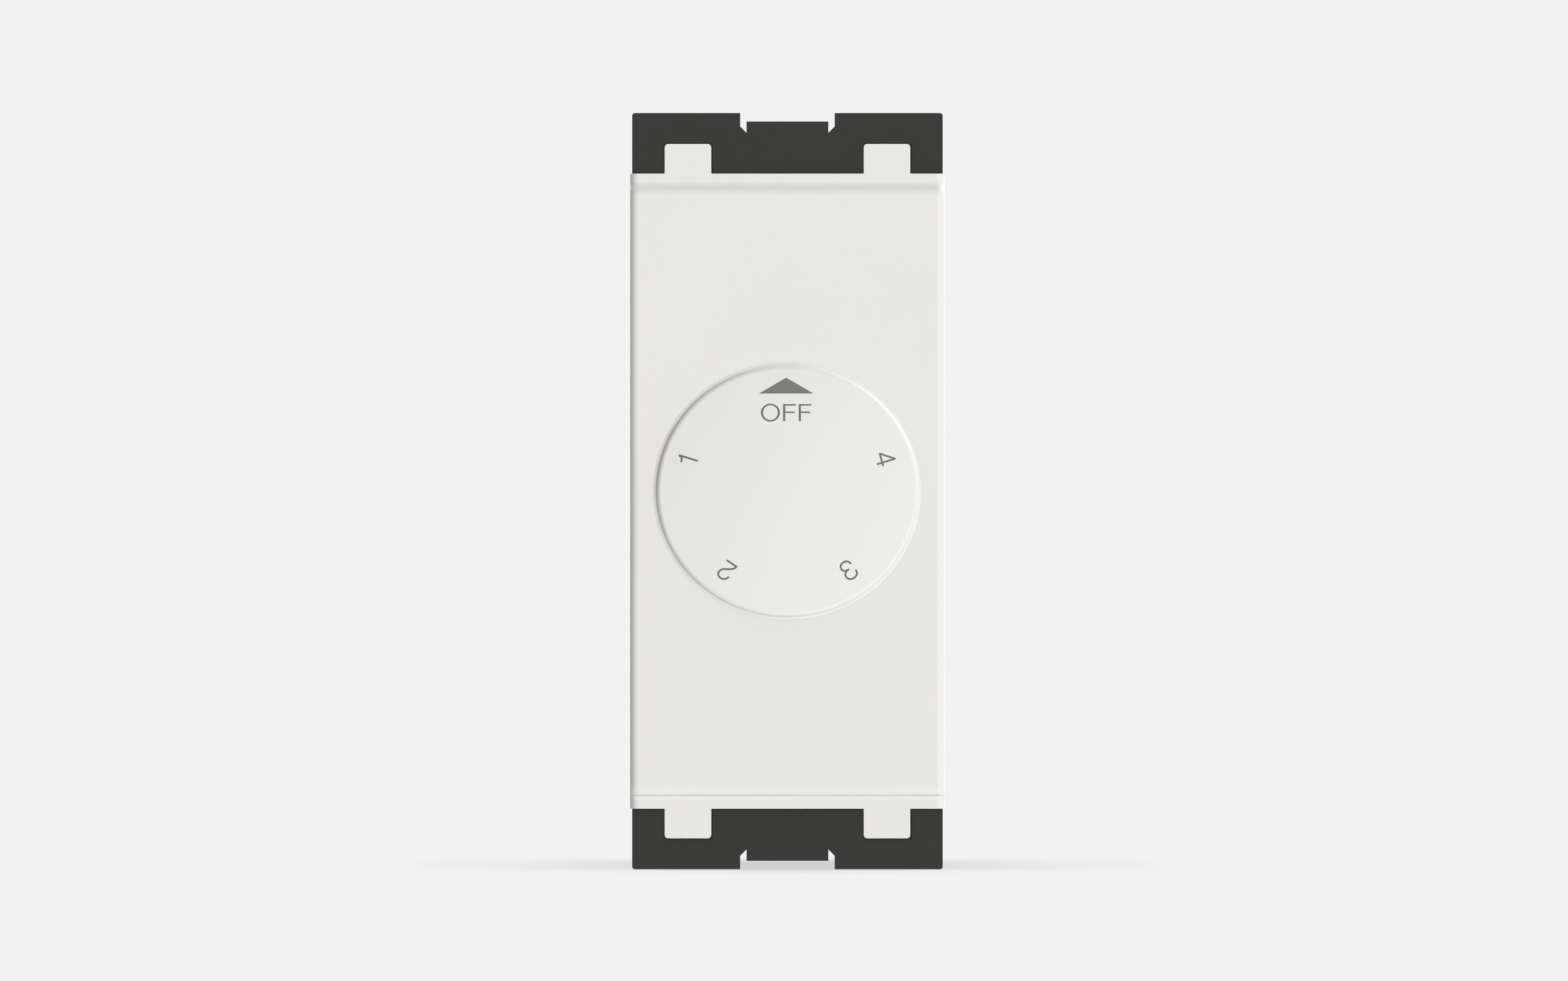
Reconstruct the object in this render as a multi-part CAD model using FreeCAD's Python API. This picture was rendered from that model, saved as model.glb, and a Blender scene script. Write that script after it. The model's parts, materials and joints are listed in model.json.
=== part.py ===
import FreeCAD
import Part

import math
import os

# One-module fan speed control switch for a modular wiring plate.
#
# A round dial turns a five-position rotary switch: OFF and four speeds, 72 degrees apart.
# The switch puts capacitors in series with the fan, so the module holds a wafer of
# contacts, two film capacitors, their resistors and two rising-cage wire terminals.
# A white cover and the dial face the room. A dark carrier clips the module into the
# mounting grid, and a deep housing closes the back.
#
# Frame: millimetres, +X right and +Z up seen from the room, +Y into the wall. The origin
# is on the dial's axis, in the plane where the carrier's flanges seat on the grid.

# Mounting grid and outline
module_pitch = 22.5
module_height = 45.0
cover_side_play = 0.1
carrier_setback = 0.15
flange_reach = 4.3
flange_thickness = 2.0
grid_thickness = 1.8
grid_play = 0.2
body_grid_gap = 1.0

# Front cover
cover_bed = 0.8
plateau_rise = 1.0
step_foot = 0.9
step_run = 0.7
step_round = 0.3
cover_side_bevel = 0.35
cover_wall = 1.2
well_floor = 1.0
well_overlap = 0.7
pocket_wall = 1.3
pocket_rib = 1.0
tab_width = 3.3
tab_length = 2.1
tab_spacing = 14.1
tab_corner = 0.25
tab_gap = 0.08
leg_width = 3.0
leg_thickness = 1.0
leg_barb = 0.45
leg_hook_length = 1.6
leg_wall_gap = 0.65
leg_window_gap = 0.15
leg_play = 0.025
clip_hole_gap = 0.24

# Carrier
carrier_wall = 1.4
slit_width = 0.45
tongue_width = 5.8
tongue_setback = 0.6
slit_wall = 0.95
slit_taper_length = 0.45
flange_edge_round = 0.2
snap_reach = 0.4
snap_length = 9.0
snap_ramp = 3.0
snap_tip = 0.6
snap_gap = 0.3
seat_relief = 0.3
hook_width = 4.0
hook_thickness = 1.0
hook_barb = 0.8
hook_start = 2.4
hook_ramp = 1.6
hook_tip = 1.3
hook_inset = 4.1
hook_gap = 0.2
hook_wall_gap = 0.1
pillar_width = 2.4
pillar_rib = 0.9
pillar_inset = 2.6
pillar_window_gap = 0.3
bearing_wall = 1.7
bearing_length = 2.0

# Dial
dial_side_margin = 1.73
dial_flare = 0.45
dial_rise = 2.8
dial_dome = 0.4
dial_draft = 0.07
dial_wall = 1.2
dial_wall_arcs = 8
dial_face = 1.1
dial_float = 0.15
dial_seat_gap = 0.02
dial_hub_wall = 1.3
dial_ribs = 5
dial_rib_thickness = 0.9
dial_rib_setback = 0.5

# Rotor, its clip and the dial's leaf spring
shaft_radius = 2.0
shaft_flat = 1.2
shaft_fit = 0.05
shaft_end_gap = 0.1
journal_radius = 2.9
bearing_clearance = 0.05
clip_thickness = 0.4
clip_groove = 0.5
clip_width = 1.45
clip_play = 0.02
clip_lug = 0.7
clip_lug_angles = (0.0, 118.0, 242.0)
clip_mouth = 70.0
shoulder_gap = 0.5
leaf_thickness = 0.3
leaf_play = 0.025
leaf_width = 2.4
leaf_bow = 0.12
leaf_end_gap = 0.2

# Index wheel and its spring
positions = 5
wheel_spring_gap = 1.8
wheel_dip = 0.58
wheel_tip_round = 0.8
wheel_thickness = 2.6
wheel_end_gap = 0.1
index_spring_thickness = 0.35
index_spring_width = 2.2
index_spring_inset = 1.1
index_nose_radius = 1.2
index_nose_half_angle = 55.0
index_bend_radius = 0.8
index_touch_gap = 0.02
index_spring_half_length = 9.6
post_length = 2.2
post_thickness = 2.1
post_reach = 0.55
post_wall_gap = 0.1
post_slot_gap = 0.05

# Contacts
rotor_hub_radius = 5.0
contact_spring_outer = 3.4
contact_spring_inner = 1.9
contact_spring_thickness = 0.3
contact_spring_bow = 0.8
contact_spring_gap = 0.02
pivot_radius = 1.4
pivot_clearance = 0.05
pivot_end_gap = 0.4
peg_width = 1.0
peg_circle_radius = 4.2
peg_clearance = 0.06
peg_setback = 0.02
wiper_thickness = 0.4
wiper_disc_radius = 5.2
wiper_arm_width = 2.6
contact_circle_share = 6.8 / 9.8
button_radius = 0.8
button_height = 0.35
contact_gap = 0.04
contact_radius = 1.3
contact_height = 0.5
contact_tab_width = 1.4
contact_tab_thickness = 0.6
tab_stub = 0.4
ring_gap = 0.5
ring_band_width = 2.0
ring_tab_width = 1.0

# Circuit board and what it carries
board_standoff = 12.0
board_thickness = 1.6
board_gap = 0.2
hole_clearance = 0.1
capacitor_gap = 0.6
capacitor_side_gap = 0.3
capacitor_height = 10.7
capacitor_foot = 0.5
capacitor_foot_width = 1.4
capacitor_foot_length = 3.0
small_capacitor_length = 14.6
capacitor_edge_round = 0.8
lead_inset = 1.2
lead_width = 0.8
lead_thickness = 0.6
lead_stub = 0.4
bleed_radius = 1.2
bleed_length = 6.2
bleed_cap_length = 1.2
bleed_cap_rise = 0.12
bleed_inset = 6.6
bleed_lift = 0.05
series_end_gap = 1.0
series_height = 2.8
series_depth = 3.6
series_bevel = 0.4
series_lift = 0.4
series_spacing = 0.7
series_lead_inset = 1.2

# Wire terminals
busbar_thickness = 0.8
busbar_width = 4.4
busbar_wall_gap = 0.9
busbar_capacitor_gap = 0.5
busbar_bend = 0.9
busbar_pin_width = 1.2
busbar_seat = 0.5
busbar_slot_gap = 0.05
bar_depth_below_head = 5.1
cage_length = 6.0
cage_side_wall = 0.9
cage_inner_wall = 1.0
cage_thread_wall = 1.6
cage_side_gap = 0.3
cage_bar_gap = 0.3
cage_play = 0.1
cage_corner = 0.5
wire_space = 3.6
screw_radius = 1.5
screw_clearance = 0.05
screw_head_radius = 2.2
screw_head_height = 1.7
screw_head_gap = 0.1
screw_slot_width = 0.7
screw_slot_depth = 0.9
screw_head_bevel = 0.25
screw_tip_gap = 0.02
access_lip = 0.3
wire_entry_play = 0.1
wire_funnel = 0.65
wire_funnel_depth = 0.6
chamber_wall = 1.0
chamber_front_gap = 1.0
chamber_back_gap = 1.2

# Rear housing
housing_wall = 1.2
housing_back_wall = 1.4
housing_corner_round = 1.0
housing_back_bevel = 0.5
rest_rib_height = 0.8
rest_rib_thickness = 1.2
rest_rib_offset = 12.0
vent_count = 5
vent_width = 1.0
vent_length = 13.0
vent_pitch = 2.0
vent_start = 1.4
barrier_thickness = 1.2

# Derived places, front to back
cover_width = module_pitch - 2 * cover_side_play
carrier_width = cover_width - 2 * carrier_setback
dial_half_width = cover_width / 2 - dial_side_margin
dial_half_height = dial_half_width - dial_flare
dial_rim_radius = dial_half_height - dial_draft
notch_width = tongue_width + 2 * slit_width
half_cover = module_height / 2
half_flange = half_cover + flange_reach
half_body = half_cover - body_grid_gap
flange_front = -flange_thickness
plateau_front = flange_front - plateau_rise
cover_back = -cover_bed
well_front = cover_back - well_floor
wall_back = cover_back + carrier_wall
inner_x = carrier_width / 2 - housing_wall
inner_z = half_body - housing_wall
hook_z = inner_z - hook_inset

clip_back = cover_back - clip_play
clip_front = clip_back - clip_thickness
clip_outer = journal_radius - clip_groove + clip_width
journal_front = clip_front - shoulder_gap
hub_back = journal_front - dial_seat_gap
well_radius = dial_half_height - well_overlap
dial_back = plateau_front - dial_float
dial_front = plateau_front - dial_rise
dial_inside = dial_front + dial_face
bearing_radius = journal_radius + bearing_clearance
bearing_back = wall_back + bearing_length
wheel_front = bearing_back + wheel_end_gap
wheel_back = wheel_front + wheel_thickness
index_spring_offset = inner_x - index_spring_inset
wheel_tip_radius = index_spring_offset - wheel_spring_gap
wheel_valley = wheel_tip_radius * math.cos(math.pi / positions) - wheel_dip
board_front = wall_back + board_standoff
board_back = board_front + board_thickness
contact_top = board_front - contact_height
wiper_back = contact_top - contact_gap - button_height
wiper_front = wiper_back - wiper_thickness
contact_spring_room = contact_spring_bow + contact_spring_thickness + 2 * contact_spring_gap
hub_end = wiper_front - contact_spring_room
pitch_angle = 360.0 / positions
contact_circle_radius = inner_x * contact_circle_share
ring_outer_radius = contact_circle_radius - contact_radius - ring_gap
ring_inner_radius = ring_outer_radius - ring_band_width
button_circle_radius = (ring_outer_radius + ring_inner_radius) / 2

capacitor_half = inner_x - rest_rib_height - capacitor_side_gap
lead_x = capacitor_half - lead_inset
capacitor_base = board_back + capacitor_foot
capacitor_back = capacitor_base + capacitor_height
chamber_front = capacitor_back + chamber_front_gap
cage_front = chamber_front + chamber_front_gap
cage_back = cage_front + cage_length
terminal_y = (cage_front + cage_back) / 2
back_inside = cage_back + chamber_back_gap
body_back = back_inside + housing_back_wall

busbar_outer = inner_z - busbar_wall_gap
busbar_middle = busbar_outer - busbar_thickness / 2
capacitor_end = busbar_outer - busbar_thickness - busbar_capacitor_gap
head_outer = inner_z - screw_head_gap
head_inner = head_outer - screw_head_height
bar_outer = head_inner - bar_depth_below_head
bar_inner = bar_outer - busbar_thickness
cage_thread_inner = bar_outer + cage_bar_gap
cage_thread_outer = cage_thread_inner + cage_thread_wall
cage_clamp_face = bar_inner - wire_space
cage_inner_end = cage_clamp_face - cage_inner_wall
cage_window_half = busbar_width / 2 + cage_side_gap
cage_half = cage_window_half + cage_side_wall
wire_centre = (bar_inner + cage_clamp_face) / 2
wire_entry_radius = wire_space / 2 - wire_entry_play
access_radius = screw_head_radius - access_lip
leg_outer = inner_z - leg_wall_gap
leg_window_outer = leg_outer + leg_window_gap
leg_window_inner = leg_outer - leg_thickness - leg_barb - leg_window_gap
pillar_z = leg_window_inner - pillar_window_gap - pillar_width / 2
pillar_x = inner_x - pillar_inset
series_half = pillar_x - pillar_width / 2 - series_end_gap
bleed_z = inner_z - bleed_inset
series_z = -(bleed_z + bleed_radius + bleed_cap_rise + series_spacing + series_height / 2)

BOTH = (-1, 1)
Vector = FreeCAD.Vector
X_AXIS, Y_AXIS, Z_AXIS = Vector(1, 0, 0), Vector(0, 1, 0), Vector(0, 0, 1)
OVER = 1.0
ALIGNED = 0.999
NEAR = 1e-4


# Shapes in the part's frame

def block(x, y, z):
    """Box between two limits on each axis."""
    low = [min(pair) for pair in (x, y, z)]
    size = [abs(pair[1] - pair[0]) for pair in (x, y, z)]
    return Part.makeBox(*size, Vector(*low))


def rod(radius, y, x=0.0, z=0.0):
    """Cylinder along Y between two depths."""
    return Part.makeCylinder(radius, y[1] - y[0], Vector(x, y[0], z), Y_AXIS)


def upright(radius, z, x=0.0, y=0.0):
    """Cylinder along Z between two heights."""
    low, high = sorted(z)
    return Part.makeCylinder(radius, high - low, Vector(x, y, low), Z_AXIS)


def prism_x(outline, x):
    """Prism along X of an outline given as (y, z) points."""
    wire = Part.makePolygon([Vector(x[0], y, z) for y, z in outline + outline[:1]])
    return Part.Face(wire).extrude(X_AXIS * (x[1] - x[0]))


def prism_y(outline, y):
    """Prism along Y of an outline given as (x, z) points."""
    wire = Part.makePolygon([Vector(x, y[0], z) for x, z in outline + outline[:1]])
    return Part.Face(wire).extrude(Y_AXIS * (y[1] - y[0]))


def turned(outline):
    """Solid of revolution about the dial's axis of an outline given as (radius, y) points."""
    wire = Part.makePolygon([Vector(r, y, 0) for r, y in outline + outline[:1]])
    return Part.Face(wire).revolve(Vector(0, 0, 0), Y_AXIS, 360)


def united(shapes):
    """One solid from shapes that meet, with its flat faces merged."""
    shapes = list(shapes)
    return shapes[0].fuse(shapes[1:]).removeSplitter()


def curve_of(edge):
    """Curve of an edge, or None where a fillet left a kind that has no class of its own."""
    try:
        return edge.Curve
    except TypeError:
        return None


def edge_runs_along(edge, axis):
    """True for a straight edge parallel to an axis."""
    if not isinstance(curve_of(edge), (Part.Line, Part.LineSegment)):
        return False
    direction = (edge.Vertexes[-1].Point - edge.Vertexes[0].Point).normalize()
    return abs(direction.dot(axis)) > ALIGNED


def rounded(shape, radius, chosen):
    """The shape with a fillet on each edge that chosen accepts."""
    edges = [edge for edge in shape.Edges if chosen(edge)]
    return shape.makeFillet(radius, edges) if edges else shape


def middle(edge):
    """Middle point of an edge."""
    return edge.valueAt((edge.FirstParameter + edge.LastParameter) / 2)


def polar(radius, clockwise_degrees):
    """Point (x, z) at an angle turned clockwise from the top, seen from the room."""
    angle = math.radians(clockwise_degrees)
    return radius * math.sin(angle), radius * math.cos(angle)


def strip(points, bends, thickness):
    """Face of a bent strip along a centre line of (u, v) points, as a list of edges in u, v.

    Each inner point has a bend radius on the centre line. The two sides are the centre
    line moved sideways by half the thickness, with their own larger and smaller arcs.
    """
    sides = [strip_side(points, bends, side * thickness / 2) for side in BOTH]
    left, right = sides
    ends = [(left[-1][-1], right[-1][-1]), (right[0][0], left[0][0])]
    return left + [ends[0]] + [tuple(reversed(piece)) for piece in reversed(right)] + [ends[1]]


def strip_side(points, bends, offset):
    """One side of a bent strip: pieces of two points for a line or three for an arc."""
    def unit(a, b):
        length = math.hypot(b[0] - a[0], b[1] - a[1])
        return (b[0] - a[0]) / length, (b[1] - a[1]) / length

    runs = [unit(a, b) for a, b in zip(points, points[1:])]
    start = (points[0][0] - runs[0][1] * offset, points[0][1] + runs[0][0] * offset)
    pieces = []
    for corner, radius, before, after in zip(points[1:-1], bends, runs, runs[1:]):
        turn = math.atan2(before[0] * after[1] - before[1] * after[0],
                          before[0] * after[0] + before[1] * after[1])
        hand = math.copysign(1, turn)
        reach = radius * math.tan(abs(turn) / 2)
        first = (corner[0] - before[0] * reach, corner[1] - before[1] * reach)
        centre = (first[0] - before[1] * hand * radius, first[1] + before[0] * hand * radius)
        own_radius = radius - hand * offset
        angles = [math.atan2(-before[0] * hand, before[1] * hand) + turn * share
                  for share in (0, 0.5, 1)]
        arc = tuple((centre[0] + own_radius * math.cos(a), centre[1] + own_radius * math.sin(a))
                    for a in angles)
        pieces += [(start, arc[0]), arc]
        start = arc[-1]
    end = (points[-1][0] - runs[-1][1] * offset, points[-1][1] + runs[-1][0] * offset)
    return pieces + [(start, end)]


def strip_solid(pieces, to_space, push):
    """Solid from the pieces of a strip's face, placed by to_space and extruded by push."""
    edges = []
    for piece in pieces:
        points = [to_space(*point) for point in piece]
        if len(points) == 3:
            edges.append(Part.Arc(*points).toShape())
        else:
            edges.append(Part.LineSegment(*points).toShape())
    return Part.Face(Part.Wire(edges)).extrude(push)


# Front cover

def cover_body():
    """Strip, raised plateau and tabs of the cover, as a full block."""
    foot = half_cover - step_foot
    crest = foot - step_run
    outline = [(cover_back, -half_cover), (flange_front, -half_cover), (flange_front, -foot),
               (plateau_front, -crest), (plateau_front, crest), (flange_front, foot),
               (flange_front, half_cover), (cover_back, half_cover)]
    body = prism_x(outline, (-cover_width / 2, cover_width / 2))

    def on_front_side(edge):
        point = middle(edge)
        at_side = abs(abs(point.x) - cover_width / 2) < NEAR
        return at_side and flange_front + NEAR > point.y and not edge_runs_along(edge, Y_AXIS)

    body = body.makeChamfer(cover_side_bevel, [edge for edge in body.Edges if on_front_side(edge)])

    def on_step(edge):
        height = abs(middle(edge).z)
        return edge_runs_along(edge, X_AXIS) and min(abs(height - s) for s in (foot, crest)) < NEAR

    body = rounded(body, step_round, on_step)
    return united([body] + [cover_tab(x, z) for x in BOTH for z in BOTH])


def cover_tab(side, end):
    """One of the four tabs that lie in the flange's notches."""
    x = side * tab_spacing / 2
    inner, outer = half_cover - step_foot, half_cover + tab_length
    tab = block((x - tab_width / 2, x + tab_width / 2), (flange_front, cover_back),
                (end * inner, end * outer))
    return rounded(tab, tab_corner, lambda edge: edge_runs_along(edge, Y_AXIS)
                   and abs(middle(edge).z) > half_cover)


def cover_pocket(end):
    """Hollow behind the plateau above or below the dial's well, split by a rib."""
    top = half_cover - step_foot - step_run - pocket_wall
    bottom = well_radius + pocket_wall
    half = cover_width / 2 - pocket_wall
    hollow = block((-half, half), (plateau_front + cover_wall, cover_back + OVER),
                   (end * bottom, end * top))
    rib = block((-pocket_rib / 2, pocket_rib / 2), (plateau_front, cover_back + OVER),
                (end * bottom, end * top))
    return hollow.cut(rib)


def cover_leg(side, end):
    """Snap leg that passes through the carrier's wall and hooks behind it."""
    x = side * tab_spacing / 2
    root = plateau_front + cover_wall / 2
    inner = leg_outer - leg_thickness
    catch = wall_back + leg_play
    tip = catch + leg_hook_length
    outline = [(root, inner), (root, leg_outer), (catch, leg_outer),
               (catch, leg_outer + leg_barb), (catch + leg_barb / 2, leg_outer + leg_barb),
               (tip, leg_outer - leg_barb / 2), (tip, inner)]
    if end < 0:
        outline = [(y, -z) for y, z in outline]
    return prism_x(outline, (x - leg_width / 2, x + leg_width / 2))


def make_front_cover():
    """White cover: plateau with the dial's well, edge strips, tabs and snap legs."""
    cover = cover_body()
    for end in BOTH:
        cover = cover.cut(cover_pocket(end))
    cover = cover.cut(rod(well_radius, (plateau_front - OVER, well_front)))
    cover = cover.cut(rod(clip_outer + clip_hole_gap, (well_front - OVER, cover_back + OVER)))
    return united([cover] + [cover_leg(x, z) for x in BOTH for z in BOTH])


# Carrier

def flange_outline():
    """Front outline of the carrier, with the latch notches in its top and bottom edges."""
    side = carrier_width / 2
    tongue = half_flange - tongue_setback
    slit = half_flange - slit_wall
    right = [(side, half_flange), (notch_width / 2, half_flange), (notch_width / 2, slit),
             (tongue_width / 2, slit - slit_taper_length), (tongue_width / 2, tongue)]
    top = right + [(-x, z) for x, z in reversed(right)]
    return top + [(-x, -z) for x, z in top]


def snap_arm(end):
    """Grid snap: a flexing arm in line with the housing's wall, with a ramped barb."""
    catch = grid_thickness + grid_play
    reach = half_cover + snap_reach
    arm = block((-tongue_width / 2, tongue_width / 2), (cover_back, snap_length),
                (end * inner_z, end * half_body))
    outline = [(catch, half_body - NEAR), (catch, reach), (catch + snap_tip, reach),
               (catch + snap_tip + snap_ramp, half_body - NEAR)]
    barb = prism_x([(y, end * z) for y, z in outline], (-tongue_width / 2, tongue_width / 2))
    return arm.fuse(barb)


def side_hook(side, end):
    """Hook inside the housing's side wall, with a barb that fills the wall's window."""
    outer = inner_x - hook_wall_gap
    inner = outer - hook_thickness
    ramp = wall_back + hook_start + hook_tip
    tip = ramp + hook_ramp
    z = end * hook_z
    outline = [(inner, cover_back), (outer, cover_back), (outer, wall_back + hook_start),
               (outer + hook_barb, wall_back + hook_start), (outer + hook_barb, ramp),
               (outer, tip), (inner, tip)]
    wire = Part.makePolygon([Vector(side * x, y, z - hook_width / 2)
                             for x, y in outline + outline[:1]])
    return Part.Face(wire).extrude(Z_AXIS * hook_width)


def spring_post(end):
    """Post with a slot that holds one end of the index spring."""
    far = index_spring_half_length + post_reach
    low_y = wheel_front + (wheel_thickness - index_spring_width) / 2
    post = block((index_spring_offset - post_thickness / 2, inner_x - post_wall_gap),
                 (wall_back - NEAR, low_y + index_spring_width + wheel_end_gap),
                 (end * (far - post_length), end * far))
    half_slot = index_spring_thickness / 2 + post_slot_gap
    slot_end = end * (index_spring_half_length + post_slot_gap)
    slot = block((index_spring_offset - half_slot, index_spring_offset + half_slot),
                 (low_y - post_slot_gap, board_front), (0, slot_end))
    return post.cut(slot)


def board_pillar(side, end):
    """Cross-shaped pillar from the carrier's wall to the front of the board."""
    x, z = side * pillar_x, end * pillar_z
    y = (cover_back, board_front)
    wide, thin = pillar_width / 2, pillar_rib / 2
    return block((x - wide, x + wide), y, (z - thin, z + thin)).fuse(
        block((x - thin, x + thin), y, (z - wide, z + wide)))


def make_carrier():
    """Dark carrier: flanges, front wall, rotor bearing, snaps, hooks, posts and pillars."""
    flange = prism_y(flange_outline(), (flange_front, 0))

    def on_outer_corner(edge):
        return edge_runs_along(edge, Y_AXIS) and abs(middle(edge).x) > notch_width / 2 + NEAR

    flange = rounded(flange, flange_edge_round, on_outer_corner)
    bed_half = half_cover + tab_gap
    side = carrier_width / 2 + OVER
    flange = flange.cut(block((-side, side), (flange_front - OVER, cover_back),
                              (-bed_half, bed_half)))
    wall = block((-carrier_width / 2, carrier_width / 2), (cover_back, wall_back),
                 (-half_body, half_body))
    pieces = [flange, wall, rod(bearing_radius + bearing_wall, (cover_back, bearing_back))]
    for end in BOTH:
        pieces.append(snap_arm(end))
        pieces.append(spring_post(end))
        for side in BOTH:
            pieces.append(side_hook(side, end))
            pieces.append(board_pillar(side, end))
    carrier = united(pieces)
    for end in BOTH:
        relief_half = tongue_width / 2 + snap_gap
        relief_top = half_cover + snap_reach + snap_gap
        carrier = carrier.cut(block((-relief_half, relief_half), (-seat_relief, 0),
                                    (end * (half_body + NEAR), end * relief_top)))
        for side in BOTH:
            x = side * tab_spacing / 2
            half = tab_width / 2 + tab_gap
            pocket = block((x - half, x + half), (flange_front - OVER, cover_back),
                           (end * (half_cover - OVER), end * (half_cover + tab_length + tab_gap)))
            window = block((x - half, x + half), (cover_back - OVER, wall_back + OVER),
                           (end * leg_window_inner, end * leg_window_outer))
            carrier = carrier.cut(pocket).cut(window)
    return carrier.cut(rod(bearing_radius, (cover_back - OVER, bearing_back + OVER)))


# Dial

def in_arcs(curve):
    """Closed curve as a wire of equal arcs, so that surfaces between two wires stay simple."""
    turn = 2 * math.pi / dial_wall_arcs
    return Part.Wire([curve.toShape(step * turn, (step + 1) * turn)
                      for step in range(dial_wall_arcs)])


def dial_cap():
    """Solid cap of the dial before it is hollowed: a round domed face on a wider oval base."""
    apex = dial_front - dial_dome
    base = Part.Ellipse(Vector(0, 0, -dial_back), dial_half_width, dial_half_height)
    face = Part.Circle(Vector(0, 0, -apex), Z_AXIS, dial_rim_radius)
    cap = Part.makeLoft([in_arcs(base), in_arcs(face)], True, True)
    cap.rotate(Vector(0, 0, 0), X_AXIS, 90)
    dome_radius = (dial_rim_radius ** 2 + dial_dome ** 2) / (2 * dial_dome)
    return cap.common(Part.makeSphere(dome_radius, Vector(0, apex + dome_radius, 0)))


def flatted(radius, flat, y):
    """Cylinder about the dial's axis with a flat on its upper side."""
    keep = block((-radius - OVER, radius + OVER), y, (-radius - OVER, flat))
    return rod(radius, y).common(keep)


def make_dial():
    """White dial: hollow cap with ribs, and a hub whose bore has a flat for the leaf spring."""
    hub_radius = shaft_radius + shaft_fit + dial_hub_wall
    hollow = rod(dial_rim_radius - dial_wall, (dial_inside, dial_back + OVER))
    for step in range(dial_ribs):
        rib = block((-dial_rib_thickness / 2, dial_rib_thickness / 2),
                    (dial_inside - OVER, dial_back - dial_rib_setback), (0, dial_rim_radius))
        rib.rotate(Vector(0, 0, 0), Y_AXIS, (step + 0.5) * 360.0 / dial_ribs)
        hollow = hollow.cut(rib)
    hub = rod(hub_radius, (dial_inside - NEAR, hub_back))
    bore = flatted(shaft_radius + shaft_fit, shaft_flat + leaf_thickness + 2 * leaf_play,
                   (dial_inside, hub_back + OVER))
    return united([dial_cap().cut(hollow), hub]).cut(bore)


def make_dial_leaf():
    """Bowed leaf spring that grips the flat of the shaft inside the dial's hub."""
    low = shaft_flat + leaf_play
    front, back = dial_inside + leaf_end_gap, hub_back - leaf_end_gap
    centre = (front + back) / 2
    end_low, high = low + leaf_bow, low + leaf_thickness
    middle_high = high - leaf_bow
    sides = [((front, end_low), (centre, low), (back, end_low)),
             ((back, end_low), (back, high)),
             ((back, high), (centre, middle_high), (front, high)),
             ((front, high), (front, end_low))]
    return strip_solid(sides, lambda u, v: Vector(-leaf_width / 2, u, v), X_AXIS * leaf_width)


# Rotor and index mechanism

def index_wheel():
    """Five-lobed wheel: hollow arcs between rounded tips, one hollow facing the spring."""
    half_pitch = math.pi / positions
    edges = []
    for step in range(positions):
        centre_angle = step * 2 * half_pitch
        points = []
        for radius, angle in ((wheel_tip_radius, centre_angle - half_pitch),
                              (wheel_valley, centre_angle),
                              (wheel_tip_radius, centre_angle + half_pitch)):
            points.append(Vector(radius * math.cos(angle), wheel_front, radius * math.sin(angle)))
        edges.append(Part.Arc(*points).toShape())
    wheel = Part.Face(Part.Wire(edges)).extrude(Y_AXIS * wheel_thickness)
    return rounded(wheel, wheel_tip_round, lambda edge: edge_runs_along(edge, Y_AXIS))


def make_rotor():
    """Rotor: flatted shaft, journal with clip groove, index wheel, contact hub and pivot."""
    shaft_front = dial_inside + shaft_end_gap
    groove = journal_radius - clip_groove
    core = turned([(0, journal_front - NEAR), (journal_radius, journal_front - NEAR),
                   (journal_radius, clip_front - clip_play), (groove, clip_front - clip_play),
                   (groove, clip_back + clip_play), (journal_radius, clip_back + clip_play),
                   (journal_radius, wheel_front + NEAR), (0, wheel_front + NEAR)])
    shaft = flatted(shaft_radius, shaft_flat, (shaft_front, journal_front))
    hub = rod(rotor_hub_radius, (wheel_back - NEAR, hub_end))
    pivot = rod(pivot_radius, (wheel_back, board_back - pivot_end_gap))
    pegs = [drive_peg(side, peg_width, (hub_end - NEAR, wiper_back - peg_setback))
            for side in BOTH]
    return united([core, shaft, index_wheel(), hub, pivot] + pegs)


def drive_peg(side, width, y):
    """Square peg at one side of the hub that turns the wiper."""
    x, half = side * peg_circle_radius, width / 2
    return block((x - half, x + half), y, (-half, half))


def make_retaining_clip():
    """Spring-steel clip in the journal's groove, open at one side, with three inner lugs."""
    inner = journal_radius - clip_groove + clip_play
    y = (clip_front, clip_back)
    past = (clip_front - OVER, clip_back + OVER)
    ring = rod(clip_outer, y).cut(rod(inner + clip_lug, past))
    lugs = []
    for angle in clip_lug_angles:
        lug = block((-clip_lug, clip_lug), y, (0, (inner + clip_outer + clip_lug) / 2))
        lug.rotate(Vector(0, 0, 0), Y_AXIS, angle)
        lugs.append(lug.cut(rod(inner, past)))
    clip = united([ring] + lugs)
    corner_x, corner_z = polar(2 * clip_outer, clip_mouth / 2)
    return clip.cut(prism_y([(0, -inner / 2), (-corner_x, -corner_z), (corner_x, -corner_z)], past))


def make_index_spring():
    """Leaf spring along the housing's right side, its nose in a hollow of the wheel."""
    apex = wheel_valley + index_touch_gap + index_spring_thickness / 2
    slope = math.radians(index_nose_half_angle)
    corner = apex - index_nose_radius * (1 / math.sin(slope) - 1)
    knee = (index_spring_offset - corner) * math.tan(slope)
    half = index_spring_half_length
    points = [(index_spring_offset, -half), (index_spring_offset, -knee), (corner, 0),
              (index_spring_offset, knee), (index_spring_offset, half)]
    bends = (index_bend_radius, index_nose_radius, index_bend_radius)
    front = wheel_front + (wheel_thickness - index_spring_width) / 2
    return strip_solid(strip(points, bends, index_spring_thickness),
                       lambda u, v: Vector(u, front, v), Y_AXIS * index_spring_width)


# Contacts

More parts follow.
